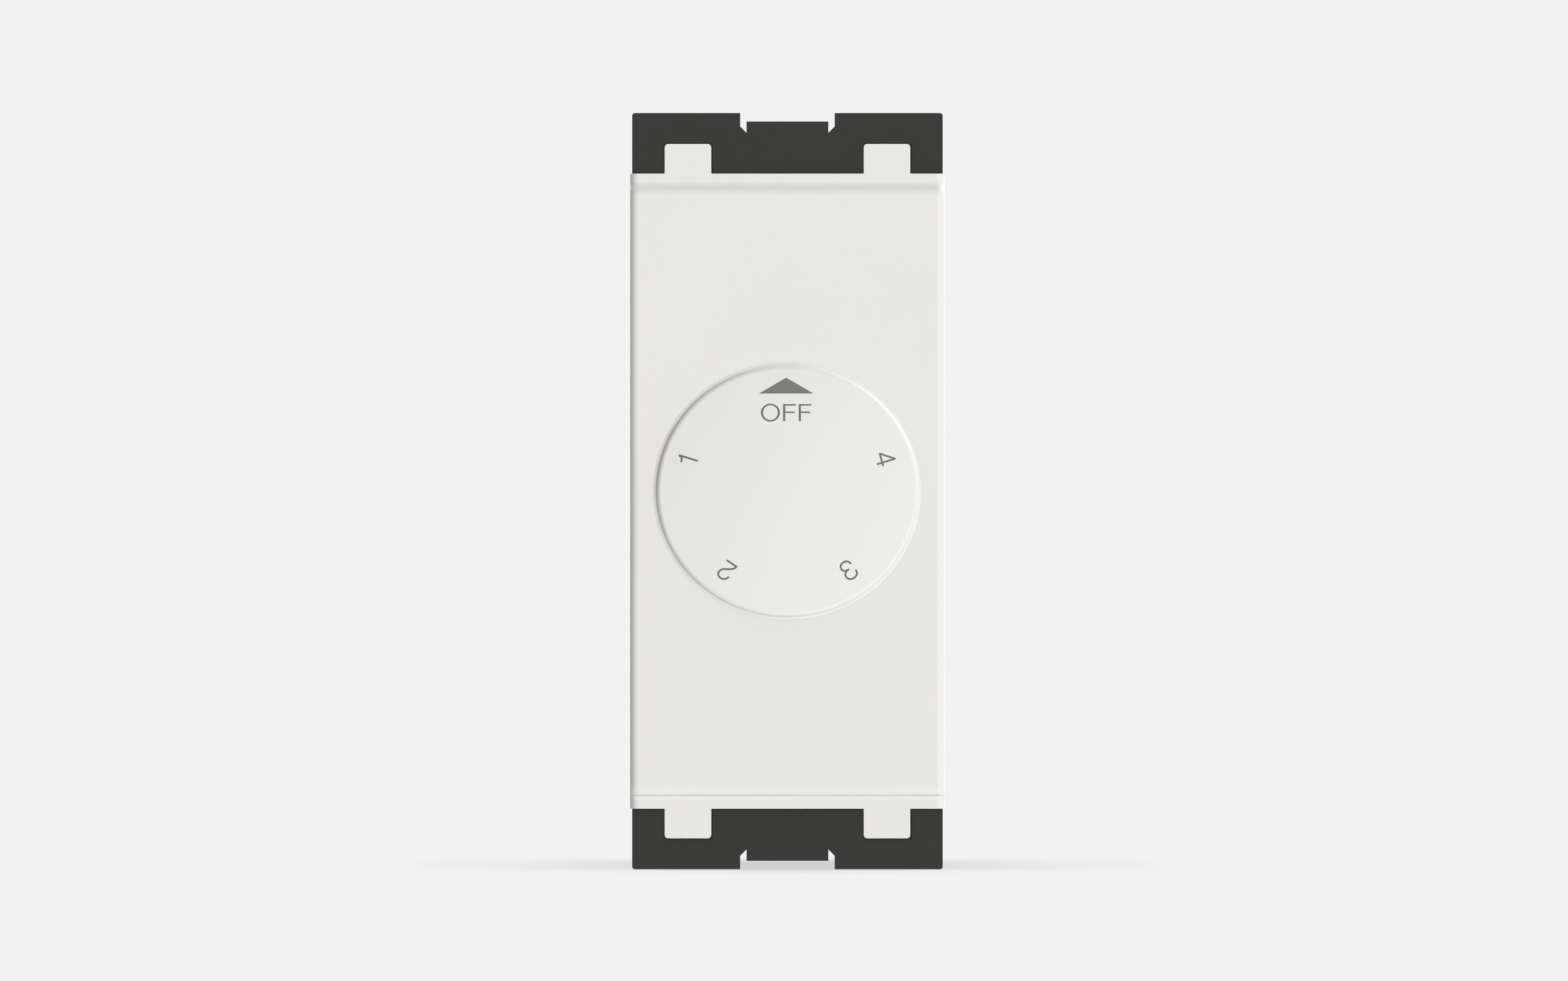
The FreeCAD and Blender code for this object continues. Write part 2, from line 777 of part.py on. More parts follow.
def make_wiper():
    """Moving contact: a disc on the rotor's pegs, with an arm and three contact buttons."""
    y = (wiper_front, wiper_back)
    past = (wiper_front - OVER, wiper_back + OVER)
    half_arm = wiper_arm_width / 2
    plate = united([rod(wiper_disc_radius, y), rod(half_arm, y, 0, contact_circle_radius),
                    block((-half_arm, half_arm), y, (0, contact_circle_radius))])
    plate = plate.cut(rod(pivot_radius + peg_clearance, past))
    for side in BOTH:
        plate = plate.cut(drive_peg(side, peg_width + 2 * peg_clearance, past))
    tip_y = (wiper_back - wiper_thickness / 2, wiper_back + button_height)
    buttons = [rod(button_radius, tip_y, 0, z)
               for z in (contact_circle_radius, button_circle_radius, -button_circle_radius)]
    return united([plate] + buttons)


def make_contact_spring():
    """Bowed spring washer between the rotor's hub and the wiper."""
    crown = hub_end + contact_spring_gap
    y = (hub_end, wiper_front)
    reach = contact_spring_outer
    radius = (reach ** 2 + contact_spring_bow ** 2) / (2 * contact_spring_bow)
    centre_y = crown + radius
    z = (-reach - OVER, reach + OVER)
    plate = upright(radius, z, 0, centre_y).cut(
        upright(radius - contact_spring_thickness, z, 0, centre_y))
    ring = rod(reach, y).cut(rod(contact_spring_inner, (y[0] - OVER, y[1] + OVER)))
    return ring.common(plate)


def contact_tab(step, gap, y):
    """Tab of a fixed contact, or with a gap the slot that it passes through."""
    half_x, half_z = contact_tab_width / 2 + gap, contact_tab_thickness / 2 + gap
    tab = block((-half_x, half_x), y, (contact_circle_radius - half_z, contact_circle_radius + half_z))
    tab.rotate(Vector(0, 0, 0), Y_AXIS, step * pitch_angle)
    return tab


def fixed_contact(step):
    """Round brass contact on the board's face, on a tab that passes through it."""
    face = rod(contact_radius, (contact_top, board_front), *polar(contact_circle_radius,
                                                                  step * pitch_angle))
    return united([face, contact_tab(step, 0, (board_front - NEAR, board_back + tab_stub))])


def make_fixed_contacts():
    """One contact for each position, on a circle about the pivot."""
    return [fixed_contact(step) for step in range(positions)]


def make_common_ring():
    """Ring that stays in touch with the wiper, with two tabs through the board."""
    ring = rod(ring_outer_radius, (contact_top, board_front))
    ring = ring.cut(rod(ring_inner_radius, (contact_top - OVER, board_front + OVER)))
    tabs = [ring_tab(side, 0, (board_front - NEAR, board_back + tab_stub))
            for side in BOTH]
    return united([ring] + tabs)


def ring_tab(side, gap, y):
    """Tab of the common ring, or with a gap the slot that it passes through."""
    x = side * button_circle_radius
    half_x, half_z = contact_height / 2 + gap, ring_tab_width / 2 + gap
    return block((x - half_x, x + half_x), y, (-half_z, half_z))


# Circuit board and its components

def capacitor_spans():
    """Length of each capacitor along Z as (low, high): the large one above the small one."""
    small = (-capacitor_end, -capacitor_end + small_capacitor_length)
    return {"capacitor_large": (small[1] + capacitor_gap, capacitor_end),
            "capacitor_small": small}


def lead_places():
    """Places (x, z) of every component lead that passes through the board."""
    places = [(side * lead_x, (low + high) / 2)
              for low, high in capacitor_spans().values() for side in BOTH]
    half = series_half - series_lead_inset
    return places + [(side * half, series_z) for side in BOTH]


def lead(x, z, y, gap=0.0):
    """Flat lead along Y, or with a gap the hole that it passes through."""
    half_x, half_z = lead_width / 2 + gap, lead_thickness / 2 + gap
    return block((x - half_x, x + half_x), y, (z - half_z, z + half_z))


def make_circuit_board():
    """Laminate board with holes for the pivot, contacts, ring tabs, leads and busbar pins."""
    board = block((-inner_x + board_gap, inner_x - board_gap), (board_front, board_back),
                  (-inner_z + board_gap, inner_z - board_gap))
    y = (board_front - OVER, board_back + OVER)
    holes = [rod(pivot_radius + pivot_clearance, y)]
    holes += [contact_tab(step, hole_clearance, y) for step in range(positions)]
    holes += [ring_tab(side, hole_clearance, y) for side in BOTH]
    holes += [lead(x, z, y, hole_clearance) for x, z in lead_places()]
    half = busbar_pin_width / 2 + hole_clearance
    thick = busbar_thickness / 2 + hole_clearance
    holes += [block((-half, half), y, (end * busbar_middle - thick, end * busbar_middle + thick))
              for end in BOTH]
    return board.cut(holes)


def make_capacitor(low, high):
    """Boxed film capacitor lying on the board: rounded case, four feet and two leads."""
    case = block((-capacitor_half, capacitor_half), (capacitor_base, capacitor_back), (low, high))
    case = rounded(case, capacitor_edge_round, lambda edge: edge_runs_along(edge, Y_AXIS))
    inner = capacitor_half - capacitor_edge_round
    first, last = low + capacitor_edge_round, high - capacitor_edge_round
    feet = [block((side * (inner - capacitor_foot_width), side * inner),
                  (board_back, capacitor_base + NEAR), z) for side in BOTH
            for z in ((first, first + capacitor_foot_length), (last - capacitor_foot_length, last))]
    leads = [lead(side * lead_x, (low + high) / 2,
                  (board_front - lead_stub, capacitor_base + NEAR)) for side in BOTH]
    return united([case] + feet + leads)


def make_bleed_resistor(end):
    """Leadless tubular resistor on the board's face: waisted body between two metal caps."""
    axis_y = board_front - bleed_lift - bleed_radius - bleed_cap_rise
    z = end * bleed_z
    half = bleed_length / 2
    cap_radius = bleed_radius + bleed_cap_rise
    neck = half - bleed_cap_length
    outline = [(0, -half), (cap_radius, -half), (cap_radius, -neck), (bleed_radius, -neck),
               (bleed_radius, neck), (cap_radius, neck), (cap_radius, half), (0, half)]
    wire = Part.makePolygon([Vector(x, axis_y - r, z) for r, x in outline + outline[:1]])
    return Part.Face(wire).revolve(Vector(0, axis_y, z), X_AXIS, 360)


def make_series_resistor():
    """Ceramic block resistor standing off the board on its two leads."""
    back = board_front - series_lift
    front = back - series_depth
    body = block((-series_half, series_half), (front, back),
                 (series_z - series_height / 2, series_z + series_height / 2))
    bevelled = [edge for edge in body.Edges if abs(middle(edge).y - front) < NEAR]
    body = body.makeChamfer(series_bevel, bevelled)
    leads = [lead(side * (series_half - series_lead_inset), series_z,
                  (back - NEAR, board_back + lead_stub))
             for side in BOTH]
    return united([body] + leads)


# Wire terminals

def make_busbar(end):
    """Bent brass strip from the board to the cage, with a pin soldered into the board."""
    bar_middle = (bar_outer + bar_inner) / 2
    turn_y = chamber_front + busbar_thickness / 2
    points = [(board_back, busbar_middle), (turn_y, busbar_middle), (turn_y, bar_middle),
              (back_inside + busbar_seat, bar_middle)]
    points = [(y, end * z) for y, z in points]
    half = busbar_width / 2
    bar = strip_solid(strip(points, (busbar_bend, busbar_bend), busbar_thickness),
                      lambda u, v: Vector(-half, u, v), X_AXIS * busbar_width)
    pin = block((-busbar_pin_width / 2, busbar_pin_width / 2),
                (board_front - lead_stub, board_back + NEAR),
                (end * busbar_middle - busbar_thickness / 2,
                 end * busbar_middle + busbar_thickness / 2))
    return united([bar, pin])


def make_cage(end):
    """Rising cage: a rectangular loop round the busbar, its outer wall threaded."""
    cage = block((-cage_half, cage_half), (cage_front, cage_back),
                 (end * cage_inner_end, end * cage_thread_outer))
    cage = rounded(cage, cage_corner, lambda edge: edge_runs_along(edge, Y_AXIS))
    window = block((-cage_window_half, cage_window_half), (cage_front - OVER, cage_back + OVER),
                   (end * cage_clamp_face, end * cage_thread_inner))
    hole = upright(screw_radius + screw_clearance,
                   (end * cage_thread_inner - end * OVER, end * (cage_thread_outer + OVER)),
                   0, terminal_y)
    return cage.cut(window).cut(hole)


def make_screw(end):
    """Captive terminal screw: slotted head with a bevelled rim, plain shank and flat tip."""
    tip = bar_outer + screw_tip_gap
    outline = [(0, tip), (screw_radius, tip), (screw_radius, head_inner),
               (screw_head_radius, head_inner),
               (screw_head_radius, head_outer - screw_head_bevel),
               (screw_head_radius - screw_head_bevel, head_outer), (0, head_outer)]
    wire = Part.makePolygon([Vector(r, terminal_y, end * z) for r, z in outline + outline[:1]])
    screw = Part.Face(wire).revolve(Vector(0, terminal_y, 0), Z_AXIS, 360)
    reach, half = screw_head_radius + OVER, screw_slot_width / 2
    return screw.cut(block((-reach, reach), (terminal_y - half, terminal_y + half),
                           (end * (head_outer - screw_slot_depth), end * (head_outer + OVER))))


# Rear housing

def terminal_chamber(end):
    """Two ribs that guide a terminal's cage."""
    inner = cage_half + cage_play
    z = (end * (cage_inner_end - cage_play), end * (inner_z + NEAR))
    return [block((side * inner, side * (inner + chamber_wall)),
                  (chamber_front, back_inside + NEAR), z) for side in BOTH]


def wire_entry(end):
    """Funnel and round hole through the rear wall."""
    z = end * wire_centre
    hole = rod(wire_entry_radius, (back_inside - OVER, body_back + OVER), 0, z)
    funnel = Part.makeCone(wire_entry_radius, wire_entry_radius + wire_funnel,
                           wire_funnel_depth, Vector(0, body_back - wire_funnel_depth, z), Y_AXIS)
    return hole.fuse(funnel)


def vent_slot(side, step):
    """Cooling slot in a side wall."""
    y = capacitor_base + vent_start + step * vent_pitch
    return block((side * (inner_x - rest_rib_height / 2), side * (carrier_width / 2 + OVER)),
                 (y - vent_width / 2, y + vent_width / 2), (-vent_length / 2, vent_length / 2))


def make_rear_housing():
    """Deep dark housing: shell with terminal chambers, rests, vents and openings."""
    side = carrier_width / 2
    shell = block((-side, side), (wall_back, body_back), (-half_body, half_body))
    shell = rounded(shell, housing_corner_round, lambda edge: edge_runs_along(edge, Y_AXIS))
    back = [edge for edge in shell.Edges if abs(middle(edge).y - body_back) < NEAR]
    shell = shell.makeChamfer(housing_back_bevel, back)
    shell = shell.cut(block((-inner_x, inner_x), (wall_back - OVER, back_inside),
                            (-inner_z, inner_z)))
    ribs = []
    for x_side in BOTH:
        for end in BOTH:
            z = end * rest_rib_offset
            ribs.append(block((x_side * (inner_x - rest_rib_height), x_side * (inner_x + NEAR)),
                              (board_back, back_inside + NEAR),
                              (z - rest_rib_thickness / 2, z + rest_rib_thickness / 2)))
    for end in BOTH:
        ribs += terminal_chamber(end)
    half_barrier = barrier_thickness / 2
    ribs.append(block((-inner_x - NEAR, inner_x + NEAR), (chamber_front, back_inside + NEAR),
                      (-half_barrier, half_barrier)))
    housing = united([shell] + ribs)
    for end in BOTH:
        gap = tongue_width / 2 + snap_gap
        housing = housing.cut(block((-gap, gap), (wall_back - OVER, snap_length + snap_gap),
                                    (end * (inner_z - OVER), end * (half_body + OVER))))
        housing = housing.cut(wire_entry(end))
        housing = housing.cut(upright(access_radius, (end * (inner_z - OVER),
                                                      end * (half_body + OVER)), 0, terminal_y))
        slot_half = busbar_width / 2 + busbar_slot_gap
        housing = housing.cut(block((-slot_half, slot_half),
                                    (back_inside - OVER, back_inside + busbar_seat + busbar_slot_gap),
                                    (end * (bar_inner - busbar_slot_gap),
                                     end * (bar_outer + busbar_slot_gap))))
        for x_side in BOTH:
            half = hook_width / 2 + hook_gap
            z = end * hook_z
            first = wall_back + hook_start - hook_gap
            last = wall_back + hook_start + hook_tip + hook_ramp + hook_gap
            housing = housing.cut(block((x_side * (inner_x - NEAR), x_side * (side + OVER)),
                                        (first, last), (z - half, z + half)))
    for x_side in BOTH:
        for step in range(vent_count):
            housing = housing.cut(vent_slot(x_side, step))
    return housing


def build():
    """Every sub-part by name, as a solid or a list of identical solids."""
    parts = {
        "front_cover": make_front_cover(),
        "carrier_frame": make_carrier(),
        "rear_housing": make_rear_housing(),
        "speed_dial": make_dial(),
        "dial_leaf_spring": make_dial_leaf(),
        "rotor_shaft": make_rotor(),
        "retaining_clip": make_retaining_clip(),
        "index_spring": make_index_spring(),
        "wiper_contact": make_wiper(),
        "contact_spring": make_contact_spring(),
        "fixed_contacts": make_fixed_contacts(),
        "common_ring": make_common_ring(),
        "circuit_board": make_circuit_board(),
    }
    for name, (low, high) in capacitor_spans().items():
        parts[name] = make_capacitor(low, high)
    for name, end in (("upper", 1), ("lower", -1)):
        parts["bleed_resistor_" + name] = make_bleed_resistor(end)
    parts["series_resistor"] = make_series_resistor()
    for name, end in (("line", 1), ("load", -1)):
        parts[name + "_busbar"] = make_busbar(end)
        parts[name + "_cage"] = make_cage(end)
        parts[name + "_screw"] = make_screw(end)
    return parts


def write(parts):
    """One STEP file per sub-part, named after it."""
    os.makedirs("parts", exist_ok=True)
    for name, made in parts.items():
        shape = Part.makeCompound(made) if isinstance(made, list) else made
        shape.exportStep(os.path.join("parts", name + ".step"))


write(build())
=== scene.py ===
"""Looks of a one-module fan speed control switch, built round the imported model.

Sizes in the classes are millimetres in the part's frame: +X right and +Z up seen from the
room, +Y into the wall. Meshes are written in metres.
"""

import json
import logging
import math
from collections.abc import Sequence
from dataclasses import dataclass, field
from enum import Enum

import bmesh
import bpy
from mathutils import Matrix, Vector

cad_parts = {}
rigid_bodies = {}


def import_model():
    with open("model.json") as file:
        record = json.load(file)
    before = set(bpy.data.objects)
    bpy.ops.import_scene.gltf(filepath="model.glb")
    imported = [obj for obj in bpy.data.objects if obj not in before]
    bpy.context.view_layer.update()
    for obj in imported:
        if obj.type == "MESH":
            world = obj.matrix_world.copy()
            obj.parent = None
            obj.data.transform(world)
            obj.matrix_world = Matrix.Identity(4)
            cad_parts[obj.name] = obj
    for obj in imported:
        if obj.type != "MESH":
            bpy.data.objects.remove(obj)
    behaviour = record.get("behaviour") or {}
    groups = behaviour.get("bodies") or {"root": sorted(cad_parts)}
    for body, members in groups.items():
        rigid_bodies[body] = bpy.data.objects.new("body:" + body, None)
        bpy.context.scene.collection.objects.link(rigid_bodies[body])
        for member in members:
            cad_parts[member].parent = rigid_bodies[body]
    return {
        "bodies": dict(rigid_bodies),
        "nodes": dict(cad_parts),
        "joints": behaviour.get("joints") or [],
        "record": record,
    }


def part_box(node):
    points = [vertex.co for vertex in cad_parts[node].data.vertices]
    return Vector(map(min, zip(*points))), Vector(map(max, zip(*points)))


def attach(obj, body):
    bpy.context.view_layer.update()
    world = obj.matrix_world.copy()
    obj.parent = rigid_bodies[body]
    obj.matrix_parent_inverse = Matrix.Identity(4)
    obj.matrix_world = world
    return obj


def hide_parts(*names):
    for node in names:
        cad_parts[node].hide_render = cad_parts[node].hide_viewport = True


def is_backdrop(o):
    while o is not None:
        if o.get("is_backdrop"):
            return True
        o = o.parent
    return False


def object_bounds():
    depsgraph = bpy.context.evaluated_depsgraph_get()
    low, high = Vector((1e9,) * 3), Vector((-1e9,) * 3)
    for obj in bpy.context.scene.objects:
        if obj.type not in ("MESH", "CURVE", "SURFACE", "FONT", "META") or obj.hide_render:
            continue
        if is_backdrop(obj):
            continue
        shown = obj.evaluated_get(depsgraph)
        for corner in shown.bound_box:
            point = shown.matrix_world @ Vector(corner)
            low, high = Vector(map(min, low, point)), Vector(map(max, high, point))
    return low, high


LOG = logging.getLogger("fan_speed_switch")
MM = 0.001
WELD = 1e-8
SIDES = (-1, 1)
Point = tuple[float, float, float]
Flat = tuple[float, float]
Colour = tuple[float, float, float]
Shape = tuple[list[Point], list[list[int]]]
Socket = bpy.types.NodeSocket


class Grain(Enum):
    """How a mould's wall leaves a plastic surface."""

    SATIN = "satin"
    SPARKED = "sparked"


class End(Enum):
    """The two ends of the module, with the side of the dial's axis that each lies on."""

    LINE = 1
    LOAD = -1

    @property
    def word(self) -> str:
        """Lower-case name, as the nodes use it."""
        return self.name.lower()


def grey(value: float) -> Colour:
    """The same share of red, green and blue."""
    return (value, value, value)


def linear(red: int, green: int, blue: int) -> Colour:
    """Linear colour of an sRGB colour given in steps of 255."""
    def channel(step: int) -> float:
        """Linear share of one channel."""
        share = step / 255
        return share / 12.92 if share <= 0.04045 else ((share + 0.055) / 1.055) ** 2.4
    return (channel(red), channel(green), channel(blue))


def turns(count: int) -> list[float]:
    """Angles in radians at equal steps round a full turn."""
    return [2 * math.pi * i / count for i in range(count)]


def spaced(first: float, last: float, count: int) -> list[float]:
    """Values at equal steps between two limits, both limits among them."""
    return [first + (last - first) * i / (count - 1) for i in range(count)]


# Node trees

class Tree:
    """A node tree, with short calls to build on it."""

    def __init__(self, tree: bpy.types.NodeTree) -> None:
        """Takes the tree to build on."""
        self.tree = tree

    def feed(self, target: Socket, value: object) -> None:
        """Joins a socket to an input, or writes a plain value on it."""
        if isinstance(value, Socket):
            self.tree.links.new(value, target)
        else:
            target.default_value = value

    def add(self, kind: str, settings: dict[str, object] | None = None,
            **inputs: object) -> bpy.types.Node:
        """Adds a node.

        Args:
            kind: Type of the node.
            settings: Properties of the node.
            inputs: Sockets or values by input name, with _ for a space.

        Returns:
            The node.
        """
        node = self.tree.nodes.new(kind)
        for key, value in (settings or {}).items():
            setattr(node, key, value)
        for key, value in inputs.items():
            self.feed(node.inputs[key.replace("_", " ")], value)
        return node

    def calculated(self, kind: str, first: Socket, second: Socket | float = 0.0) -> Socket:
        """Result of a Math node, such as ADD or GREATER_THAN."""
        node = self.add("ShaderNodeMath", {"operation": kind})
        self.feed(node.inputs[0], first)
        self.feed(node.inputs[1], second)
        return node.outputs["Value"]

    def blended(self, share: Socket, first: Socket, second: Socket) -> Socket:
        """Shader between two shaders, the second one where the share is 1."""
        node = self.add("ShaderNodeMixShader", Fac=share)
        self.feed(node.inputs[1], first)
        self.feed(node.inputs[2], second)
        return node.outputs["Shader"]

    def seen_directly(self) -> Socket:
        """Share that is 1 for rays of the camera, of reflections and of transmission."""
        path = self.add("ShaderNodeLightPath")
        share = path.outputs["Is Camera Ray"]
        for kind in ("Is Glossy Ray", "Is Transmission Ray"):
            share = self.calculated("MAXIMUM", share, path.outputs[kind])
        return share


class Shading(Tree):
    """A material's node tree, with one Principled shader."""

    def __init__(self, name: str) -> None:
        """Starts an empty material with its shader and output."""
        self.material = bpy.data.materials.new(name)
        self.material.use_nodes = True
        super().__init__(self.material.node_tree)
        self.tree.nodes.clear()
        self.shader = self.add("ShaderNodeBsdfPrincipled")
        self.output = self.add("ShaderNodeOutputMaterial", Surface=self.shader.outputs["BSDF"])
        self.place = self.add("ShaderNodeTexCoord").outputs["Object"]

    def shows(self, **values: object) -> None:
        """Sets the shader's own sockets to values or to other sockets, with _ for a space."""
        for name, value in values.items():
            self.feed(self.shader.inputs[name.replace("_", " ")], value)

    def stretched(self, scale: Point) -> Socket:
        """Object coordinates times a factor on each axis."""
        return self.add("ShaderNodeMapping", Vector=self.place, Scale=scale).outputs["Vector"]

    def coordinate(self, axis: int) -> Socket:
        """One object coordinate in metres, with 0, 1 and 2 for X, Y and Z."""
        return self.add("ShaderNodeSeparateXYZ", Vector=self.place).outputs[axis]

    def noise(self, size: float, detail: float = 2.0, rough: float = 0.5,
              place: Socket | None = None) -> Socket:
        """Noise whose features are about a size across.

        Args:
            size: Feature size in millimetres.
            detail: Octaves of finer noise.
            rough: Share that each octave keeps.
            place: Coordinates, or None for the object's own.

        Returns:
            The noise value, about 0.5 on average.
        """
        node = self.add("ShaderNodeTexNoise", Scale=1 / (size * MM), Detail=detail, Roughness=rough,
                        Vector=place or self.place)
        return node.outputs["Fac"]

    def ranged(self, value: Socket, low: float, high: float, start: float = 0.3,
               stop: float = 0.7) -> Socket:
        """Maps a value between two limits to a range.

        Args:
            value: What is mapped.
            low: Result at start.
            high: Result at stop.
            start: Lower limit of the value.
            stop: Upper limit of the value.

        Returns:
            The mapped value.
        """
        node = self.add("ShaderNodeMapRange", Value=value, From_Min=start, From_Max=stop,
                        To_Min=low, To_Max=high)
        return node.outputs["Result"]

    def mixed(self, share: Socket, first: Colour | Socket, second: Colour | Socket) -> Socket:
        """Colour between two colours, the second one where the share is 1."""
        node = self.add("ShaderNodeMix", {"data_type": "RGBA"}, Factor=share)
        for index, colour in ((6, first), (7, second)):
            self.feed(node.inputs[index], colour if isinstance(colour, Socket) else (*colour, 1))
        return node.outputs[2]

    def raised(self, height: Socket, depth: float, edge: float) -> None:
        """Joins the relief of a height map and rounded edges to the shader.

        Args:
            height: Height map from 0 to 1.
            depth: Depth of the relief in millimetres.
            edge: Reach in millimetres over which a sharp edge looks rounded.
        """
        rounded = self.add("ShaderNodeBevel", {"samples": 6}, Radius=edge * MM)
        bump = self.add("ShaderNodeBump", Strength=1.0, Distance=depth * MM, Height=height,
                        Normal=rounded.outputs["Normal"])
        self.shows(Normal=bump.outputs["Normal"])


# Materials

@dataclass(frozen=True)
class Plastic:
    """A moulded plastic with its mould grain.

    Fields: name; colour in linear shares; roughness; grain of the mould; grain_size and
    grain_depth in millimetres; mottling, the share by which the colour wanders;
    edge, the radius of its edges in millimetres; shine, the specular level; drift_size, how
    far apart in millimetres colour and roughness change; wander of the roughness.
    """

    name: str
    colour: Colour
    roughness: float = 0.4
    grain: Grain = Grain.SATIN
    grain_size: float = 0.25
    grain_depth: float = 0.004
    mottling: float = 0.02
    edge: float = 0.12
    shine: float = 0.5
    drift_size: float = 9.0
    wander: float = 0.04

    def material(self) -> bpy.types.Material:
        """Builds the material."""
        look = Shading(self.name)
        drift = look.noise(self.drift_size, 3.0)
        fine = look.noise(self.grain_size, 3.0, 0.6)
        relief = fine
        if self.grain is Grain.SPARKED:
            craters = look.add("ShaderNodeTexVoronoi", {"feature": "SMOOTH_F1"}, Vector=look.place,
                               Scale=1 / (self.grain_size * MM))
            relief = look.calculated("ADD", craters.outputs["Distance"], fine)
        darker = tuple(share * (1 - self.mottling) for share in self.colour)
        rough = look.calculated(
            "ADD", look.ranged(drift, -self.wander / 2, self.wander / 2),
            look.ranged(fine, self.roughness - self.wander, self.roughness + self.wander))
        look.shows(Base_Color=look.mixed(look.ranged(drift, 0, 1), darker, self.colour),
                   Roughness=rough, Specular_IOR_Level=self.shine)
        look.raised(relief, self.grain_depth, self.edge)
        return look.material


@dataclass(frozen=True)
class Metal:
    """A stamped, rolled or plated metal.

    Fields: name; colour; stain, the colour of its tarnish; tarnish, the share that it
    covers; roughness; lay, how much the rolling grain is stretched along each axis;
    tip_colour and tip_from, the colour of a plated end and the depth Y in millimetres past
    which it shows, with None for no plating; tip_behind, whether it lies past that depth;
    grain_size, grain_depth, cloud_size and edge in millimetres.
    """

    name: str
    colour: Colour
    stain: Colour
    tarnish: float = 0.3
    roughness: float = 0.3
    lay: Point = (1.0, 1.0, 8.0)
    tip_colour: Colour | None = None
    tip_from: float = 0.0
    tip_behind: bool = True
    grain_size: float = 0.18
    grain_depth: float = 0.003
    cloud_size: float = 1.6
    edge: float = 0.06

    def material(self) -> bpy.types.Material:
        """Builds the material."""
        look = Shading(self.name)
        grain = look.noise(self.grain_size, 3.0, 0.6, look.stretched(self.lay))
        cloud = look.noise(self.cloud_size, 4.0, 0.6)
        colour = look.mixed(look.ranged(cloud, 0, self.tarnish, 0.4, 0.75), self.colour, self.stain)
        if self.tip_colour:
            kind = "GREATER_THAN" if self.tip_behind else "LESS_THAN"
            past = look.calculated(kind, look.coordinate(1), self.tip_from * MM)
            colour = look.mixed(past, colour, self.tip_colour)
        look.shows(Base_Color=colour, Metallic=1.0,
                   Roughness=look.ranged(grain, self.roughness * 0.7, self.roughness * 1.4))
        look.raised(grain, self.grain_depth, self.edge)
        return look.material


@dataclass(frozen=True)
class Laminate:
    """Paper laminate: warm brown, with faint fibres and a thin lacquer."""

    name: str = "paper_laminate"
    colour: Colour = (0.30, 0.165, 0.065)
    fibre: Colour = (0.40, 0.245, 0.11)
    fibre_size: float = 0.5
    fibre_depth: float = 0.004
    edge: float = 0.05

    def material(self) -> bpy.types.Material:
        """Builds the material."""
        look = Shading(self.name)
        fibres = look.noise(self.fibre_size, 4.0, 0.7, look.stretched((1.0, 1.0, 0.25)))
        look.shows(Base_Color=look.mixed(look.ranged(fibres, 0, 1), self.colour, self.fibre),
                   Roughness=look.ranged(fibres, 0.34, 0.5))
        look.raised(fibres, self.fibre_depth, self.edge)
        return look.material


@dataclass(frozen=True)
class BandedLacquer:
    """Lacquered resistor between metal caps, with its value as plain colour bands.

    Fields: name; body, the lacquer's colour; cap, the metal's colour; cap_from, the distance
    along X in millimetres past which the metal cap shows; bands, the middle, width and colour
    of each band; cloud_size, cloud_depth and edge in millimetres.
    """

    name: str = "resistor_lacquer"
    body: Colour = (0.10, 0.27, 0.36)
    cap: Colour = (0.62, 0.61, 0.58)
    cap_from: float = 1.91
    bands: tuple[tuple[float, float, Colour], ...] = (
        (-1.35, 0.34, (0.16, 0.05, 0.015)), (-0.70, 0.34, (0.012, 0.012, 0.012)),
        (-0.05, 0.34, (0.75, 0.50, 0.03)), (0.95, 0.34, (0.50, 0.33, 0.09)))
    cloud_size: float = 0.8
    cloud_depth: float = 0.01
    edge: float = 0.08

    def material(self) -> bpy.types.Material:
        """Builds the material."""
        look = Shading(self.name)
        along = look.coordinate(0)
        cloud = look.noise(self.cloud_size, 3.0)
        colour = look.mixed(look.ranged(cloud, 0, 0.25), self.body, grey(0.02))
        for middle, width, band in self.bands:
            away = look.calculated("ABSOLUTE", look.calculated("SUBTRACT", along, middle * MM))
            colour = look.mixed(look.calculated("LESS_THAN", away, width / 2 * MM), colour, band)
        capped = look.calculated("GREATER_THAN", look.calculated("ABSOLUTE", along), self.cap_from * MM)
        look.shows(Base_Color=look.mixed(capped, colour, self.cap), Metallic=capped,
                   Roughness=look.ranged(cloud, 0.2, 0.36))
        look.raised(cloud, self.cloud_depth, self.edge)
        return look.material


